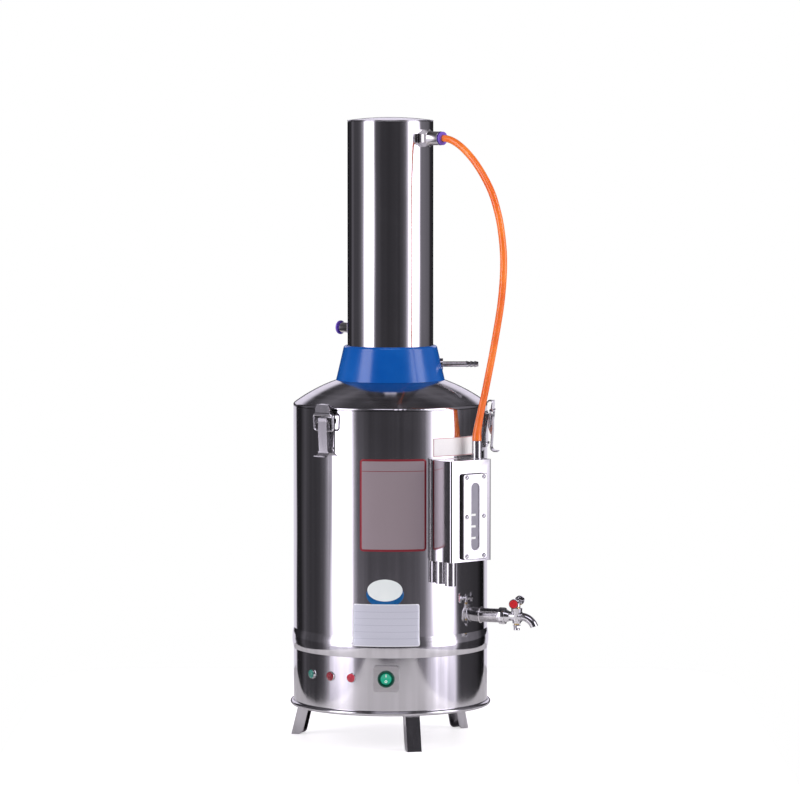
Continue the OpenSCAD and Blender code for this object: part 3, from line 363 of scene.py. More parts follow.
weld_metal = buffed_metal("weld_metal", (0.60, 0.59, 0.58), 0.18, 0.30, streaks=(900.0, 900.0, 900.0))
seam_radius = 0.0013
seam_height = 0.00016
column_foot = 0.5715
column_mouth = 0.8915
seams = [("pot_seam", "boiler", 180, pot_radius, pot_foot + 0.032, pot_mouth - 0.002),
         ("skirt_seam", "boiler", 165, pot_radius, skirt_foot + 0.008, pot_foot - 0.002),
         ("column_seam", "head", 180, column_radius, column_foot, column_mouth)]
for seam_name, seam_body, seam_azimuth, seam_rho, low, high in seams:
    seam_path = place(seam_azimuth, seam_rho, 0, np.linspace(low, high, 400))
    seam = weld_bead(seam_name, seam_path, seam_radius, seam_height)
    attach(seam, seam_body)


# Dome and column cap. Spun from round blanks on a lathe, so their polish runs in circles; the cap is
# pressed into the column's top.
spun_sheet = buffed_metal("spun_sheet", steel, 0.09, 0.17, streaks=(600.0, 600.0, 600.0), wave=3e-4,
                          spun=True)
dress(["cover_dome", "column_cap"], spun_sheet)


# Water level box. Folded from sheet, butted on the pot's wall and welded all round; the inlet pipe is
# welded on its top and the two outlet pipes on its floor. Its edges are rounded by the grinder.
merge_distance = 2e-6
flat_angle = math.radians(0.5)
sharp_angle = math.radians(35)


def softened(names, body, material, width, segments=2):
    """Stands a merged copy in for each CAD node: faces within flat_angle of each other joined, and edges
    past sharp_angle rounded by this width."""
    for name in names:
        shell = bmesh.new()
        shell.from_mesh(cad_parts[name].data)
        bmesh.ops.remove_doubles(shell, verts=shell.verts, dist=merge_distance)
        bmesh.ops.dissolve_limit(shell, angle_limit=flat_angle, verts=shell.verts, edges=shell.edges)
        mesh = bpy.data.meshes.new(name + "_rounded")
        shell.to_mesh(mesh)
        shell.free()
        if "custom_normal" in mesh.attributes:
            mesh.attributes.remove(mesh.attributes["custom_normal"])
        mesh.materials.clear()
        mesh.materials.append(material)
        mesh.polygons.foreach_set("material_index", [0] * len(mesh.polygons))
        mesh.polygons.foreach_set("use_smooth", [True] * len(mesh.polygons))
        mesh.set_sharp_from_angle(angle=sharp_angle)
        piece = bpy.data.objects.new(name + "_rounded", mesh)
        bpy.context.scene.collection.objects.link(piece)
        bevel = piece.modifiers.new("edges", "BEVEL")
        bevel.width = width
        bevel.segments = segments
        bevel.limit_method = "ANGLE"
        bevel.angle_limit = sharp_angle
        bevel.harden_normals = True
        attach(piece, body)
        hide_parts(name)


box_azimuth = 39.5
box_side = 0.0375
box_floor = 0.271
box_top = 0.4145
softened(["water_box"], "boiler", rolled_sheet, 0.0012, 4)
bare_steel = buffed_metal("turned_steel", (0.64, 0.635, 0.64), 0.10, 0.2, streaks=(900.0, 900.0, 900.0))
softened(["box_inlet_pipe", "overflow_pipe", "box_drain_pipe"], "boiler", bare_steel,
         0.0003)
box_corners = np.array([(-1, 0), (1, 0), (1, 1), (-1, 1), (-1, 0)], float)
edge_run = np.linspace(0, 4, 480, endpoint=False)
box_edge = np.stack([np.interp(edge_run, np.arange(5), box_corners[:, k]) for k in (0, 1)], axis=1)
edge_side = box_edge[:, 0] * box_side
edge_rho = np.sqrt(pot_radius**2 - edge_side**2)
edge_height = box_floor + box_edge[:, 1] * (box_top - box_floor)
box_bead = 0.0011
pipe_bead = 0.0009
box_weld = join_loop(weld_bead("box_weld", place(box_azimuth, edge_rho, edge_side, edge_height), box_bead,
                               box_bead, closed=True))
ring_turn = np.linspace(0, 2 * np.pi, 90, endpoint=False)


def pipe_weld(name, rho, side, height, radius):
    """A round bead where an upright pipe meets the box."""
    path = place(box_azimuth, rho + radius * np.cos(ring_turn), side + radius * np.sin(ring_turn), height)
    return join_loop(weld_bead(name, path, pipe_bead, pipe_bead, closed=True))


outlet_side = -0.0287
outlet_weld_radius = 0.0082
inlet_weld = pipe_weld("inlet_pipe_weld", 0.159, 0.028, box_top, 0.0072)
overflow_weld = pipe_weld("overflow_pipe_weld", 0.1475, outlet_side, box_floor, outlet_weld_radius)
drain_weld = pipe_weld("drain_pipe_weld", 0.168, outlet_side, box_floor, outlet_weld_radius)
for bead in (box_weld, inlet_weld, overflow_weld, drain_weld):
    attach(bead, "boiler")


# Window of the water box. A pressed frame clamps a frosted pane over the slot with six pan-head screws. A
# rubber seal lies under the pane and its lip wraps both; where the lip stands round the frame's outer edge,
# its black is a painted shadow line in the gap there. Three white bars on the pane mark the levels.
pressed_sheet = buffed_metal("pressed_sheet", steel, 0.08, 0.16, streaks=(300.0, 300.0, 60.0), wave=1e-4)
softened(["window_frame"], "boiler", pressed_sheet, 0.0007, 3)
dress(["window_pane"], plastic("frosted_pane", (0.21, 0.20, 0.245), (0.26, 0.245, 0.295), 0.3,
                               Coat_Weight=0.12, Coat_Roughness=0.05))
window_side = 0.0033
window_middle = 0.335
pane_face = 0.1832
frame_face = 0.1849
frame_half = np.array([0.0215, 0.060])
frame_corner = 0.003
mark_width = 0.0088
mark_height = 0.0032
mark_depth = 0.00035
mark_side = window_side - 0.0027
mark_rises = (0.0024, -0.014, -0.0304)
screw_side = 0.0157
screw_spacing = 0.056
screw_radius = 0.0034
screw_dome = 0.00375
screw_recess = 0.0009
chrome = buffed_metal("chrome_plate", (0.76, 0.76, 0.77), 0.04, 0.10, streaks=(200.0, 200.0, 200.0),
                      wave=6e-5, streak=3e-6)


def thicken(piece, depth):
    """Gives a one-sided surface a wall of this depth behind it."""
    wall = piece.modifiers.new("wall", "SOLIDIFY")
    wall.thickness = depth
    wall.offset = -1
    return piece


def frame_ring(name, profile, material):
    """A closed ring round the window's frame. The profile gives distances out from the frame's edge and
    from the axis; each is carried round a rectangle whose corners are quarter circles."""
    quarter = np.radians(np.linspace(0, 90, 9))
    turn = np.concatenate([quarter + quadrant * np.pi / 2 for quadrant in range(4)])
    sign = np.repeat([(1, 1), (-1, 1), (-1, -1), (1, -1)], len(quarter), axis=0)
    reach = np.stack([np.cos(turn), np.sin(turn)], axis=-1)
    rows = np.concatenate([profile, profile[:1]])
    outline = sign * (frame_half - frame_corner) + (frame_corner + rows[:, :1, None]) * reach
    points = place(box_azimuth, rows[:, 1:], window_side + outline[..., 0], window_middle + outline[..., 1])
    return join_loop(grid_mesh(name, points, around=True, material=material))


rubber = plastic("seal_rubber", (0.02, 0.02, 0.02), (0.035, 0.034, 0.033), 0.62)
# The lip outside the frame's edge, black rubber standing proud of the wall, is a painted shadow line round
# the frame.
seal_and_shadow_lip_profile = np.array([(-0.002, 0.18005), (0.0008, 0.18005), (0.0008, 0.1844), (0.0006, 0.1846),
                         (0.0003, 0.1846), (0.00008, 0.1844), (0.00008, 0.18108), (-0.002, 0.18108)])
seal_and_shadow_lip = frame_ring("seal_and_shadow_lip", seal_and_shadow_lip_profile, rubber)
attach(seal_and_shadow_lip, "boiler")
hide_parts("window_gasket")
mark_white = plastic("white_mark", (0.86, 0.86, 0.85), (0.92, 0.92, 0.92), 0.4)
for index, mark_rise in enumerate(mark_rises):
    mark_across, mark_up = np.meshgrid(np.linspace(-0.5, 0.5, 5), np.linspace(-0.5, 0.5, 3))
    mark = grid_mesh(f"level_mark_{index + 1}",
                     place(box_azimuth, pane_face + 0.0004, mark_side + mark_across * mark_width,
                           window_middle + mark_rise + mark_up * mark_height), material=mark_white)
    thicken(mark, mark_depth)
    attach(mark, "boiler")


def screw_head(name, side, height):
    """A round screw head on the frame: a cap of a sphere of radius screw_dome, sunk by screw_recess inside
    a cross, whose two arms reach to half the head's radius and slope at their edges."""
    share = np.concatenate([np.linspace(0.02, 1, 22), [1.0]])[:, None]
    turn = np.linspace(0, 2 * np.pi, 64, endpoint=False)
    x, y = share * screw_radius * np.cos(turn), share * screw_radius * np.sin(turn)
    dome = np.sqrt(screw_dome**2 - x**2 - y**2) - math.sqrt(screw_dome**2 - screw_radius**2)
    in_arm = np.clip(1.5 - np.minimum(abs(x), abs(y)) / (0.13 * screw_radius), 0, 1)
    in_reach = np.clip(6 - 10 * np.hypot(x, y) / screw_radius, 0, 1)
    rise = dome - screw_recess * in_arm * in_reach
    rise[-1] = -0.0003
    points = place(box_azimuth, frame_face + rise, side + x, height + y)
    return grid_mesh(name, points, around=True, ends=True, material=chrome)


screw_places = [(across, up) for across in (-1, 1) for up in (-1, 0, 1)]
heads = [screw_head(f"window_screw_{index + 1}", window_side + across * screw_side,
                    window_middle + up * screw_spacing) for index, (across, up) in enumerate(screw_places)]
for head in heads:
    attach(head, "boiler")
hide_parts("window_screws")


# Latches. Toggle latches pressed from sheet: riveted bases, levers with a curled thumb tail, and wire
# loops with a hooked claw plate; the keepers are spot-welded on the dome.
softened(["latch_bases"], "boiler", pressed_sheet, 0.0002)
# The keepers' dark grey is painted shade: it stands in for the dark room that their upturned faces mirror.
keeper_painted_shade = buffed_metal("keeper_painted_shade", (0.29, 0.28, 0.30), 0.14, 0.24, streaks=(300.0, 300.0, 60.0),
                            wave=2e-4)
softened(["latch_keepers"], "head", keeper_painted_shade, 0.0002)
# The levers' pale colour, lighter than the other steel, is a painted highlight standing in for the bright
# panels they mirror.
lever_sheet = buffed_metal("lever_sheet", (0.88, 0.87, 0.89), 0.20, 0.32, streaks=(300.0, 300.0, 40.0),
                           wave=6e-4)
for side_name in ("left", "right", "back"):
    softened(["latch_lever_" + side_name], "lever_" + side_name, lever_sheet, 0.00035)
    softened(["latch_claw_" + side_name], "claw_" + side_name, pressed_sheet, 0.00025)
dress(["latch_rivets"], bare_steel)


# Legs and base plate. The legs are channels pressed from thicker sheet, satin, each held by two screws;
# the base plate and the pieces inside the column are left as the mill rolled them.
satin_leg = buffed_metal("satin_leg", (0.62, 0.615, 0.63), 0.08, 0.17, streaks=(700.0, 700.0, 14.0),
                         wave=1.2e-3, streak=1.5e-5)
mill_sheet = buffed_metal("mill_sheet", (0.56, 0.56, 0.57), 0.22, 0.36, streaks=(500.0, 40.0, 500.0))
softened(["leg_front", "leg_left", "leg_right"], "boiler", satin_leg, 0.0004)
dress(["base_plate", "distillate_tray", "tube_plates", "condenser_tubes"], mill_sheet)
dress(["leg_screws"], bare_steel)


# Drain tap. The socket is a stainless tube welded into the pot; the tap's body, handle and nuts are cast
# brass, polished and plated, the plug is bare brass, and red caps close the handle's ends.
tap_azimuth = 68
tap_height = 0.185
socket_radius = 0.010
socket_bead_across = 0.0016
socket_bead_height = 0.0014
dress(["drain_socket"], bare_steel)
softened(["tap_nut", "tap_body"], "boiler", chrome, 0.0004)
softened(["tap_handle", "tap_plug_nut"], "tap_key", chrome, 0.0004)
brass = buffed_metal("bare_brass", (0.78, 0.58, 0.26), 0.18, 0.30, streaks=(600.0, 600.0, 600.0), wave=5e-5)
dress(["tap_plug", "heater_nuts"], brass)
dress(["tap_caps"], plastic("red_cap", (0.55, 0.012, 0.018), (0.68, 0.02, 0.028), 0.2, Coat_Weight=0.5))
weld_radius = socket_radius + 0.0003
socket_side = weld_radius * np.sin(ring_turn)
socket_ring = place(tap_azimuth, np.sqrt(pot_radius**2 - socket_side**2), socket_side,
                    tap_height + weld_radius * np.cos(ring_turn))
socket_weld = join_loop(weld_bead("socket_weld", socket_ring, socket_bead_across, socket_bead_height,
                                  closed=True))
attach(socket_weld, "boiler")


# Push-in fittings and distillate spigot. The fittings are turned brass, nickel-plated, with moulded
# purple release rings; the spigot is turned stainless with three barbs.
nickel = buffed_metal("nickel_plate", (0.70, 0.69, 0.67), 0.07, 0.15, streaks=(200.0, 200.0, 200.0),
                      wave=6e-5)
softened(["outlet_fitting", "inlet_fitting"], "head", nickel, 0.0004)
softened(["distillate_spigot"], "head", bare_steel, 0.0002)
dress(["outlet_release_ring", "inlet_release_ring"],
      plastic("purple_ring", (0.16, 0.08, 0.50), (0.23, 0.13, 0.62), 0.25))


# Collar, seals and gland. The collar is moulded and glossy and covers the joint of the column and the
# dome; the seals are rubber and the gland is nylon.
dress(["collar"], plastic("blue_collar", (0.0, 0.078, 0.37), (0.001, 0.098, 0.42), 0.2, Coat_Weight=0.3,
                          Coat_Roughness=0.08))
dress(["cable_gland"], plastic("black_nylon", (0.012, 0.012, 0.013), (0.022, 0.022, 0.023), 0.42,
                               depth=2e-5))
dress(["cover_gasket"], rubber)


# Heaters and switchgear inside the base. Oxidised heater tubes, a thermoset contactor and thermostat,
# and a cream terminal block.
sheath = buffed_metal("heater_sheath", (0.26, 0.255, 0.25), 0.34, 0.5, streaks=(300.0, 300.0, 300.0),
                      wave=5e-5)
dress(["heating_elements"], sheath)
dress(["contactor", "dry_boil_thermostat"],
      plastic("grey_thermoset", (0.035, 0.035, 0.037), (0.05, 0.05, 0.052), 0.5))
dress(["terminal_block"], plastic("cream_thermoset", (0.66, 0.63, 0.55), (0.74, 0.71, 0.63), 0.45))


# Switch. A dark green bezel snapped into the square plate holds a green rocker, whose faint emission is a
# painted glow, with a bar printed on its upper half for on and a ring on its lower half for off.
panel_height = 0.104
switch_azimuth = -2.5
rocker_axis = 0.1395
rocker_tilt = math.radians(-7)
face_rise = 0.0056
face_slope = math.radians(9)
bar_half_width = 0.00045
bar_ends = (0.0020, 0.0060)
off_ring_radii = (0.0011, 0.0019)
off_ring_drop = 0.0040
print_lift = 0.0001
print_depth = 0.00012
satin_plate = buffed_metal("satin_plate", (0.76, 0.745, 0.75), 0.30, 0.40, streaks=(60.0, 60.0, 900.0))
softened(["switch_plate"], "boiler", satin_plate, 0.0009, 3)
softened(["switch_housing"], "boiler",
         plastic("dark_green_bezel", (0.0, 0.045, 0.028), (0.0, 0.065, 0.04), 0.22), 0.0003)
# The rocker's faint emission is a painted glow, not light from a lamp.
dress(["switch_rocker"], plastic("green_rocker_painted_glow", (0.01, 0.28, 0.17), (0.02, 0.37, 0.23), 0.2, depth=8e-6,
                                 Emission_Color=(0.02, 0.50, 0.30, 1), Emission_Strength=0.08,
                                 Coat_Weight=0.4))


def on_rocker(across, up, lift):
    """Points on the rocker's two faces, which rise to both ends: turned back by the rocker's tilt and set
    out from its pin."""
    out = face_rise + abs(up) * math.tan(face_slope) + lift
    height = up * math.cos(rocker_tilt) + out * math.sin(-rocker_tilt)
    depth = out * math.cos(rocker_tilt) - up * math.sin(-rocker_tilt)
    return place(switch_azimuth, rocker_axis + depth, across, panel_height + height)


bar_across, bar_up = np.meshgrid(np.linspace(-bar_half_width, bar_half_width, 3), np.linspace(*bar_ends, 9))
on_mark = grid_mesh("switch_on_bar", on_rocker(bar_across, bar_up, print_lift), material=mark_white)
ring_reach = np.array(off_ring_radii)[:, None]
off_mark = grid_mesh("switch_off_ring",
                     on_rocker(-ring_reach * np.cos(ring_turn),
                               ring_reach * np.sin(ring_turn) - off_ring_drop, print_lift),
                     around=True, material=mark_white)
for printed in (on_mark, off_mark):
    thicken(printed, print_depth)
    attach(printed, "rocker")


# Pilot lamps. Plated bezels and moulded lenses, pressed into them and fluted to spread the light of one
# green and two red lamps.
lamp_face = 0.1421
lens_radius = 0.0062
lens_neck = 0.0047
lens_flange = 0.0006
lens_crown = 0.0026
lens_depth = 0.004
lens_gap = 0.00002
lens_flutes = 12
flute_depth = 0.00022


def jewel_lens(name, dark, light):
    """Clear coloured plastic whose inner facets, cells of a Voronoi pattern, tilt the surface."""
    material = plastic(name, dark, light, 0.1, Coat_Weight=1.0, Coat_Roughness=0.04)
    tree = material.node_tree
    where = add_node(tree, "TexCoord").outputs["Object"]
    facets = add_node(tree, "TexVoronoi", {"Vector": where, "Scale": 420.0})
    bump = add_node(tree, "Bump", {"Height": facets.outputs["Distance"], "Distance": 6e-4})
    tree.links.new(bump.outputs["Normal"], tree.nodes["Principled BSDF"].inputs["Normal"])
    return material


def lens(name, azimuth, material):
    """A fluted lens: a neck in the bezel, a flange on its face, and a crown that falls with the square of
    the distance from the middle, raised and sunk round the lens by the flutes."""
    share = np.linspace(1, 0.03, 16)
    turn = np.linspace(0, 2 * np.pi, 96, endpoint=False)
    flute = flute_depth * np.cos(lens_flutes * turn) * (share * (1 - share) * 4)[:, None]
    crown = lens_flange + lens_crown * (1 - share**2)[:, None] + flute
    reach = np.concatenate([[lens_neck, lens_neck, lens_radius], share * lens_radius])[:, None]
    low = np.broadcast_to(np.array([-lens_depth, lens_gap, lens_gap])[:, None], (3, len(turn)))
    rise = np.concatenate([low, crown])
    points = place(azimuth, lamp_face + rise, reach * np.cos(turn), panel_height + reach * np.sin(turn))
    piece = grid_mesh(name, points, around=True, ends=True, material=material)
    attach(piece, "boiler")
    return piece


softened(["lamp_bezels"], "boiler", chrome, 0.0002)
green_lens = lens("green_lens", -52.9, jewel_lens("green_jewel", (0.004, 0.13, 0.10), (0.03, 0.34, 0.27)))
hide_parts("lens_green")
red_jewel = jewel_lens("red_jewel", (0.22, 0.004, 0.014), (0.60, 0.03, 0.06))
red_lenses = [lens("red_lens_outer", -37.3, red_jewel), lens("red_lens_inner", -23.3, red_jewel)]
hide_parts("lenses_red")


# Plates on the pot. Thin printed aluminium plates and a film, glued on and left bare: a notice plate with a
# red border and a rule, a data plate with hairlines and a pale border that is a painted highlight of its
# bevelled rim, an oval badge, and a red-edged film over the box.
bead_height = 0.030
bead_out = 0.002


def pot_wall(height):
    """Distance of the pot's wall from the axis: plain, or on the bead an arc that stands out by bead_out."""
    arc = ((bead_height / 2) ** 2 + bead_out**2) / (2 * bead_out)
    off_middle = np.clip(abs(height - pot_foot - bead_height / 2), 0, bead_height / 2)
    return pot_radius + bead_out - arc + np.sqrt(arc**2 - off_middle**2)


def curved_plate(name, azimuth, height, across, up, lift, depth, material):
    """A thin plate bent round the pot: across and up are each point's distances from its middle, along the
    wall and upward."""
    rise = height + up
    rho = pot_wall(rise) + lift
    points = place(azimuth + np.degrees(across / pot_radius), rho, 0, rise)
    plate = grid_mesh(name, points, material=material, chart=np.stack([across, up], axis=-1))
    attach(thicken(plate, depth), "boiler")


def rounded_rectangle(width, tall, corner):
    """Distances across and up for a grid over a rectangle whose corners are quarter circles."""
    quarter = np.radians(np.linspace(0, 90, 9))
    half = width / 2 - corner * (1 - np.sin(quarter))
    rise = tall / 2 - corner * (1 - np.cos(quarter))
    middle = np.linspace(-1, 1, 25)[1:-1] * rise[-1]
    rises = np.concatenate([-rise, middle, rise[::-1]])
    halves = np.concatenate([half, np.full(len(middle), width / 2), half[::-1]])
    across = halves[:, None] * np.linspace(-1, 1, 33)
    return across, np.broadcast_to(rises[:, None], across.shape)


def edge_band():
    """Shared effect of a plate's border, printed or a painted rim highlight: Band is 1 between the depths
    Start and End inside a rounded rectangle's edge, and Line is 1 on a level line at Height of the thickness
    Thick."""
    group, source, target = effect_group(
        "edge_band",
        {"Vector": ("Vector", None), "Half": ("Vector", (0.05, 0.05, 0.0)), "Corner": ("Float", 0.004),
         "Start": ("Float", 0.0), "End": ("Float", 0.002), "Height": ("Float", 0.0),
         "Thick": ("Float", 0.0004)},
        ["Band", "Line"])
    core = vectors(group, "SUBTRACT", source["Half"], source["Corner"])
    over = vectors(group, "SUBTRACT", vectors(group, "ABSOLUTE", source["Vector"]), core)
    outside = vectors(group, "MULTIPLY", vectors(group, "MAXIMUM", over, (0, 0, 0)), (1, 1, 0))
    sides = add_node(group, "SeparateXYZ", {0: over}).outputs
    inside = maths(group, "MINIMUM", maths(group, "MAXIMUM", sides[0], sides[1]), 0.0)
    reach = maths(group, "ADD", length_of(group, outside), inside)
    depth = maths(group, "SUBTRACT", source["Corner"], reach)
    band = maths(group, "MULTIPLY", maths(group, "GREATER_THAN", depth, source["Start"]),
                 maths(group, "LESS_THAN", depth, source["End"]))
    height = add_node(group, "SeparateXYZ", {0: source["Vector"]}).outputs[1]
    off_line = maths(group, "ABSOLUTE", maths(group, "SUBTRACT", height, source["Height"]))
    line = maths(group, "MULTIPLY", maths(group, "LESS_THAN", off_line, source["Thick"]),
                 maths(group, "GREATER_THAN", depth, source["End"]))
    group.links.new(band, target["Band"])
    group.links.new(line, target["Line"])
    return group


band_group = edge_band()


def plate_print_and_rim_highlight(name, size, corner, ground, border, start, end, rules=(), rule_tone=None, **numbers):
    """A printed ground with fine speckle, a border between two depths from the edge of a plate of this
    size, and level rules."""
    material, tree, shader = new_material(name, numbers)
    chart = add_node(tree, "UVMap", uv_map="surface").outputs["UV"]
    speck = add_node(tree, "TexNoise", {"Vector": chart, "Scale": 900.0, "Detail": 2.0})
    darker = tuple(channel * 0.9 for channel in ground)
    colour = mixed(tree, spread(tree, speck.outputs["Fac"], 0, 1), (*darker, 1), (*ground, 1))
    for rule in rules or [None]:
        band = add_node(tree, "Group", {}, node_tree=band_group)
        tree.links.new(chart, band.inputs["Vector"])
        band.inputs["Half"].default_value = (size[0] / 2, size[1] / 2, 0)
        for key, value in (("Corner", corner), ("Start", start), ("End", end), ("Height", rule or 0.0)):
            band.inputs[key].default_value = value
        if rule is not None:
            colour = mixed(tree, band.outputs["Line"], colour, (*(rule_tone or border), 1))
    colour = mixed(tree, band.outputs["Band"], colour, (*border, 1))
    tree.links.new(colour, shader.inputs["Base Color"])
    tree.links.new(spread(tree, speck.outputs["Fac"], 0.28, 0.40), shader.inputs["Roughness"])
    return material


notice_size = (0.096, 0.131)
notice_corner = 0.005
notice_print = plate_print_and_rim_highlight("notice_print", notice_size, notice_corner, (0.34, 0.275, 0.305),
                             (0.24, 0.022, 0.034), 0.0, 0.0030, rules=(0.0484,), Metallic=0.3)
curved_plate("notice_plate", 1.65, 0.3505, *rounded_rectangle(*notice_size, notice_corner), 0.0004, 0.00035,
             notice_print)
data_size = (0.096, 0.060)
data_corner = 0.003
data_rules = (0.019, 0.0095, 0.0, -0.0095, -0.019)
# The data plate's pale border is a painted highlight, where its bevelled rim would catch the light.
data_print_and_rim_highlight = plate_print_and_rim_highlight("data_print_and_rim_highlight", data_size, data_corner, (0.60, 0.60, 0.69), (0.80, 0.80, 0.85),
                           0.0, 0.0012, rules=data_rules, rule_tone=(0.46, 0.46, 0.55), Metallic=0.2)
curved_plate("data_plate", -2.55, 0.180, *rounded_rectangle(*data_size, data_corner), 0.0005, 0.00045,
             data_print_and_rim_highlight)
film_size = (0.0757, 0.0265)
film_corner = 0.0006
film_print = plate_print_and_rim_highlight("film_print", film_size, film_corner, (0.92, 0.88, 0.90), (0.42, 0.05, 0.07),
                           0.0004, 0.0011)
curved_plate("box_film", 41.1, 0.4315, *rounded_rectangle(*film_size, film_corner), 0.0002, 0.00015,
             film_print)
badge_azimuth = -3.2
grid_u, grid_v = np.meshgrid(np.linspace(-1, 1, 33), np.linspace(-1, 1, 33))
disc_across, disc_up = grid_u * np.sqrt(1 - grid_v**2 / 2), grid_v * np.sqrt(1 - grid_u**2 / 2)
badge_blue = plastic("badge_blue", (0.0, 0.07, 0.22), (0.0, 0.09, 0.28), 0.25)
badge_pale = plastic("badge_pale", (0.68, 0.72, 0.73), (0.76, 0.79, 0.79), 0.3)
curved_plate("badge_back", badge_azimuth, 0.2236, 0.0268 * disc_across, 0.0182 * disc_up, 0.0003, 0.00025,
             badge_blue)
curved_plate("badge_face", badge_azimuth, 0.2298, 0.0250 * disc_across, 0.0156 * disc_up, 0.0006, 0.0005,
             badge_pale)


# Studio. A small white table whose outline is a super-ellipse, with a tall white light panel at either
# side of the camera, a dimmer one behind the object and one overhead; the camera sees only white all round.
table_half = 0.55
table_front = -1.12
table_back = 0.75
table_sheet = 0.03
table_profile = np.array([(0.02, 0.0), (0.2, 0.0), (0.6, 0.0), (1.0, 0.0), (1.0, -table_sheet),
                          (0.5, -table_sheet), (0.02, -table_sheet)])
table_turn = np.linspace(0, 2 * np.pi, 128, endpoint=False)
table_squareness = 12
square = np.stack([np.cos(table_turn), np.sin(table_turn)], axis=-1)
square /= (abs(square) ** table_squareness).sum(axis=-1, keepdims=True) ** (1 / table_squareness)
table_middle = (table_front + table_back) / 2
table_points = np.stack(np.broadcast_arrays(
    table_profile[:, :1] * square[:, 0] * table_half,
    table_middle + table_profile[:, :1] * square[:, 1] * (table_back - table_front) / 2,
    table_profile[:, 1:]), axis=-1)[::-1]
table_material, table_tree, table_shader = new_material(
    "white_table", {"Base Color": (0.84, 0.80, 0.845, 1), "Roughness": 0.45})
table_rays = add_node(table_tree, "LightPath")
glow = add_node(table_tree, "Emission", {"Color": (1, 1, 1, 1), "Strength": 0.6})
brighter = add_node(table_tree, "AddShader", {0: table_shader.outputs[0], 1: glow.outputs[0]})
choice = add_node(table_tree, "MixShader", {0: table_rays.outputs["Is Camera Ray"],
                                            1: table_shader.outputs[0], 2: brighter.outputs[0]})
table_tree.links.new(choice.outputs[0], table_tree.nodes["Material Output"].inputs["Surface"])
grid_mesh("table", table_points, around=True, ends=True, material=table_material)


def panel(name, azimuth, distance, width, bottom, top, radiance):
    """A tall light panel that faces the axis, as bright as radiance per unit of its area and angle."""
    light = bpy.data.lights.new(name, "AREA")
    light.shape = "RECTANGLE"
    light.size = width
    light.size_y = top - bottom
    light.energy = radiance * math.pi * width * (top - bottom)
    lamp = bpy.data.objects.new(name, light)
    bpy.context.scene.collection.objects.link(lamp)
    lamp.location = place(azimuth, distance, 0, (bottom + top) / 2)
    toward = Vector((0, 0, lamp.location.z)) - lamp.location
    lamp.rotation_euler = toward.to_track_quat("-Z", "Y").to_euler()
    lamp.visible_camera = False
    lamp.visible_glossy = False
    return lamp


panel_distance = 2.6
panel_foot = 0.02
panel_top = 2.3
overhead_height = 2.9
panel("left_panel", -62, panel_distance, 1.70, panel_foot, panel_top, 4.0)
panel("right_panel", 65, panel_distance, 1.78, panel_foot, panel_top, 4.0)
panel("rear_panel", 180, 3.2, 1.1, 0.6, 2.2, 1.6)
overhead = panel("overhead", 0, 0.3, 1.5, 2.2, 3.7, 1.0)
overhead.location.z = overhead_height
overhead.rotation_euler = (0, 0, 0)

# Room. What the polished steel mirrors, by direction. Brightness goes with the angle from the front, where
# the two panels are its peaks; below the panels is the dim floor, overhead a dim ceiling with one lamp, and
# behind stands white paper.
room_tint = (1.0, 0.94, 1.08)
panel_radiance = 3.2
# A level is a pair of bounds on a direction's up component, and a turn one on its angle from the front in
# degrees, between which one part of the room changes to the next.
column_level = (-0.068, -0.056)
panel_foot_level = (-0.1245, -0.1215)
floor_far_level = (-0.105, -0.07)
floor_near_level = (-0.1265, -0.1235)
ceiling_level = (0.60, 0.70)
lamp_foot_level = (0.62, 0.66)
lamp_top_level = (0.83, 0.88)
paper_foot_level = (-0.068, -0.062)
paper_middle_level = (0.105, 0.13)
paper_top_level = (0.36, 0.45)
middle_turn = (-10, 10)
lamp_turn = (22, 30)
floor_turn = (40, 52)
side_turn = (82, 90)
paper_turn = (147, 152)
room_brightness = [
    (-150, 0.03), (-134, 0.03), (-123, 0.15), (-113, 0.08), (-97, 0.085), (-87, 0.14), (-78, 0.45),
    (-70, 3.2), (-48, 3.2), (-44, 0.6), (-39, 0.13), (-30, 0.085), (-25, 0.05), (24, 0.05), (34, 0.09),
    (42, 0.2), (48, 0.8), (54, 3.2), (79, 3.2), (86, 0.45), (93, 0.23), (111, 0.20), (124, 0.16),
    (136, 0.03), (150, 0.03)]
ceiling_brightness = [(0.44, 0.045), (0.56, 0.06), (0.62, 0.12), (0.76, 0.13), (0.86, 0.07), (0.95, 0.045)]
world = bpy.data.worlds.new("studio")
bpy.context.scene.world = world
world.use_nodes = True
sky = world.node_tree
direction = add_node(sky, "TexCoord").outputs["Generated"]
heading = add_node(sky, "SeparateXYZ", {0: direction})
up = heading.outputs[2]
toward_front = maths(sky, "MULTIPLY", heading.outputs[1], -1.0)
straight = maths(sky, "ARCTAN2", heading.outputs[0], toward_front)
stretched = vectors(sky, "MULTIPLY", direction, (1.0, 1.0, 14.0))
drift = add_node(sky, "TexNoise", {"Vector": stretched, "Scale": 2.2, "Detail": 2.0})
angle = maths(sky, "ADD", straight, spread(sky, drift.outputs["Fac"], -0.025, 0.025))
off_front = maths(sky, "ABSOLUTE", angle)


def brightness_ramp(value, stops):
    """A colour ramp through stops of place and radiance, and its radiance for the value."""
    ramp = add_node(sky, "ValToRGB", {"Fac": value})
    for position, radiance in stops:
        stop = ramp.color_ramp.elements.new(position)
        stop.color = (*[radiance / panel_radiance] * 3, 1)
    for end, (position, radiance) in ((0, stops[0]), (-1, stops[-1])):
        ramp.color_ramp.elements[end].color = (*[radiance / panel_radiance] * 3, 1)
    return add_node(sky, "VectorMath", {0: ramp.outputs["Color"], "Scale": panel_radiance},
                    operation="SCALE").outputs[0]


def scaled(colour, factor):
    """A colour times a factor that changes over the room."""
    return add_node(sky, "VectorMath", {0: colour, "Scale": factor}, operation="SCALE").outputs[0]


def radians_mask(value, low, high, start, stop):
    """spread for an angle, with its bounds in degrees."""
    return spread(sky, value, low, high, math.radians(start), math.radians(stop))


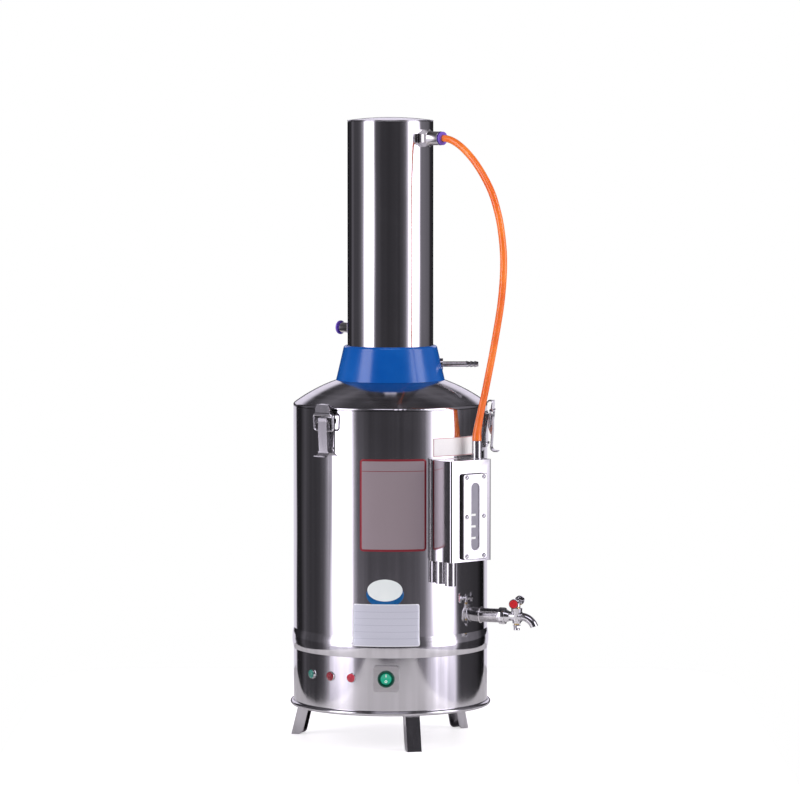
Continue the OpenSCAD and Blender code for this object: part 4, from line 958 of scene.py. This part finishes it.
share = spread(sky, angle, 0, 1, -math.pi, math.pi)
walls = brightness_ramp(share, [(degrees / 360 + 0.5, radiance) for degrees, radiance in room_brightness])
low_beside = maths(sky, "MULTIPLY", radians_mask(off_front, 0, 1, *side_turn),
                   spread(sky, up, 1, 0, *column_level))
side_dimness = radians_mask(angle, 0.7, 0.28, *middle_turn)
dimmed = mixed(sky, low_beside, walls, scaled(walls, side_dimness))
low_panels = vectors(sky, "MINIMUM", dimmed, (0.95, 0.95, 0.97))
standing = mixed(sky, spread(sky, up, 1, 0, *panel_foot_level), dimmed, low_panels)
floor_glow = maths(sky, "ADD", spread(sky, up, 0.05, 0, *floor_far_level),
                   spread(sky, up, 0.12, 0, *floor_near_level))
front_floor = maths(sky, "MULTIPLY", floor_glow, radians_mask(off_front, 1, 0, *floor_turn))
lit_floor = vectors(sky, "ADD", standing, scaled((1.0, 0.98, 1.0), front_floor))
mottle = add_node(sky, "TexNoise", {"Vector": direction, "Scale": 3.5, "Detail": 3.0, "Distortion": 0.8})
ceiling = scaled(brightness_ramp(up, ceiling_brightness), spread(sky, mottle.outputs["Fac"], 0.5, 1.6))
lamp_band = maths(sky, "MULTIPLY", spread(sky, up, 0, 1, *lamp_foot_level),
                  spread(sky, up, 1, 0, *lamp_top_level))
lamp_share = maths(sky, "MULTIPLY", radians_mask(off_front, 1, 0, *lamp_turn), lamp_band)
overhead_room = mixed(sky, lamp_share, ceiling, (1.8, 1.8, 1.85, 1))
front_room = mixed(sky, spread(sky, up, 0, 1, *ceiling_level), lit_floor, overhead_room)
paper_low = mixed(sky, spread(sky, up, 0, 1, *paper_foot_level), (0.85, 0.86, 0.85, 1),
                  (0.015, 0.015, 0.016, 1))
paper = mixed(sky, spread(sky, up, 0, 1, *paper_middle_level), paper_low, (0.95, 0.95, 0.96, 1))
back_room = mixed(sky, spread(sky, up, 0, 1, *paper_top_level), paper, overhead_room)
around = mixed(sky, radians_mask(off_front, 0, 1, *paper_turn), front_room, back_room)
seen = vectors(sky, "MULTIPLY", around, room_tint)
rays = add_node(sky, "LightPath").outputs
mirrored = maths(sky, "MAXIMUM", rays["Is Glossy Ray"], rays["Is Transmission Ray"])
soft = mixed(sky, mirrored, (0.5, 0.5, 0.505, 1), seen)
final = mixed(sky, rays["Is Camera Ray"], soft, (1, 1, 1, 1))
sky.links.new(final, sky.nodes["Background"].inputs["Color"])
sky.nodes["Background"].inputs["Strength"].default_value = 1.0
bpy.context.scene.view_settings.view_transform = "Standard"
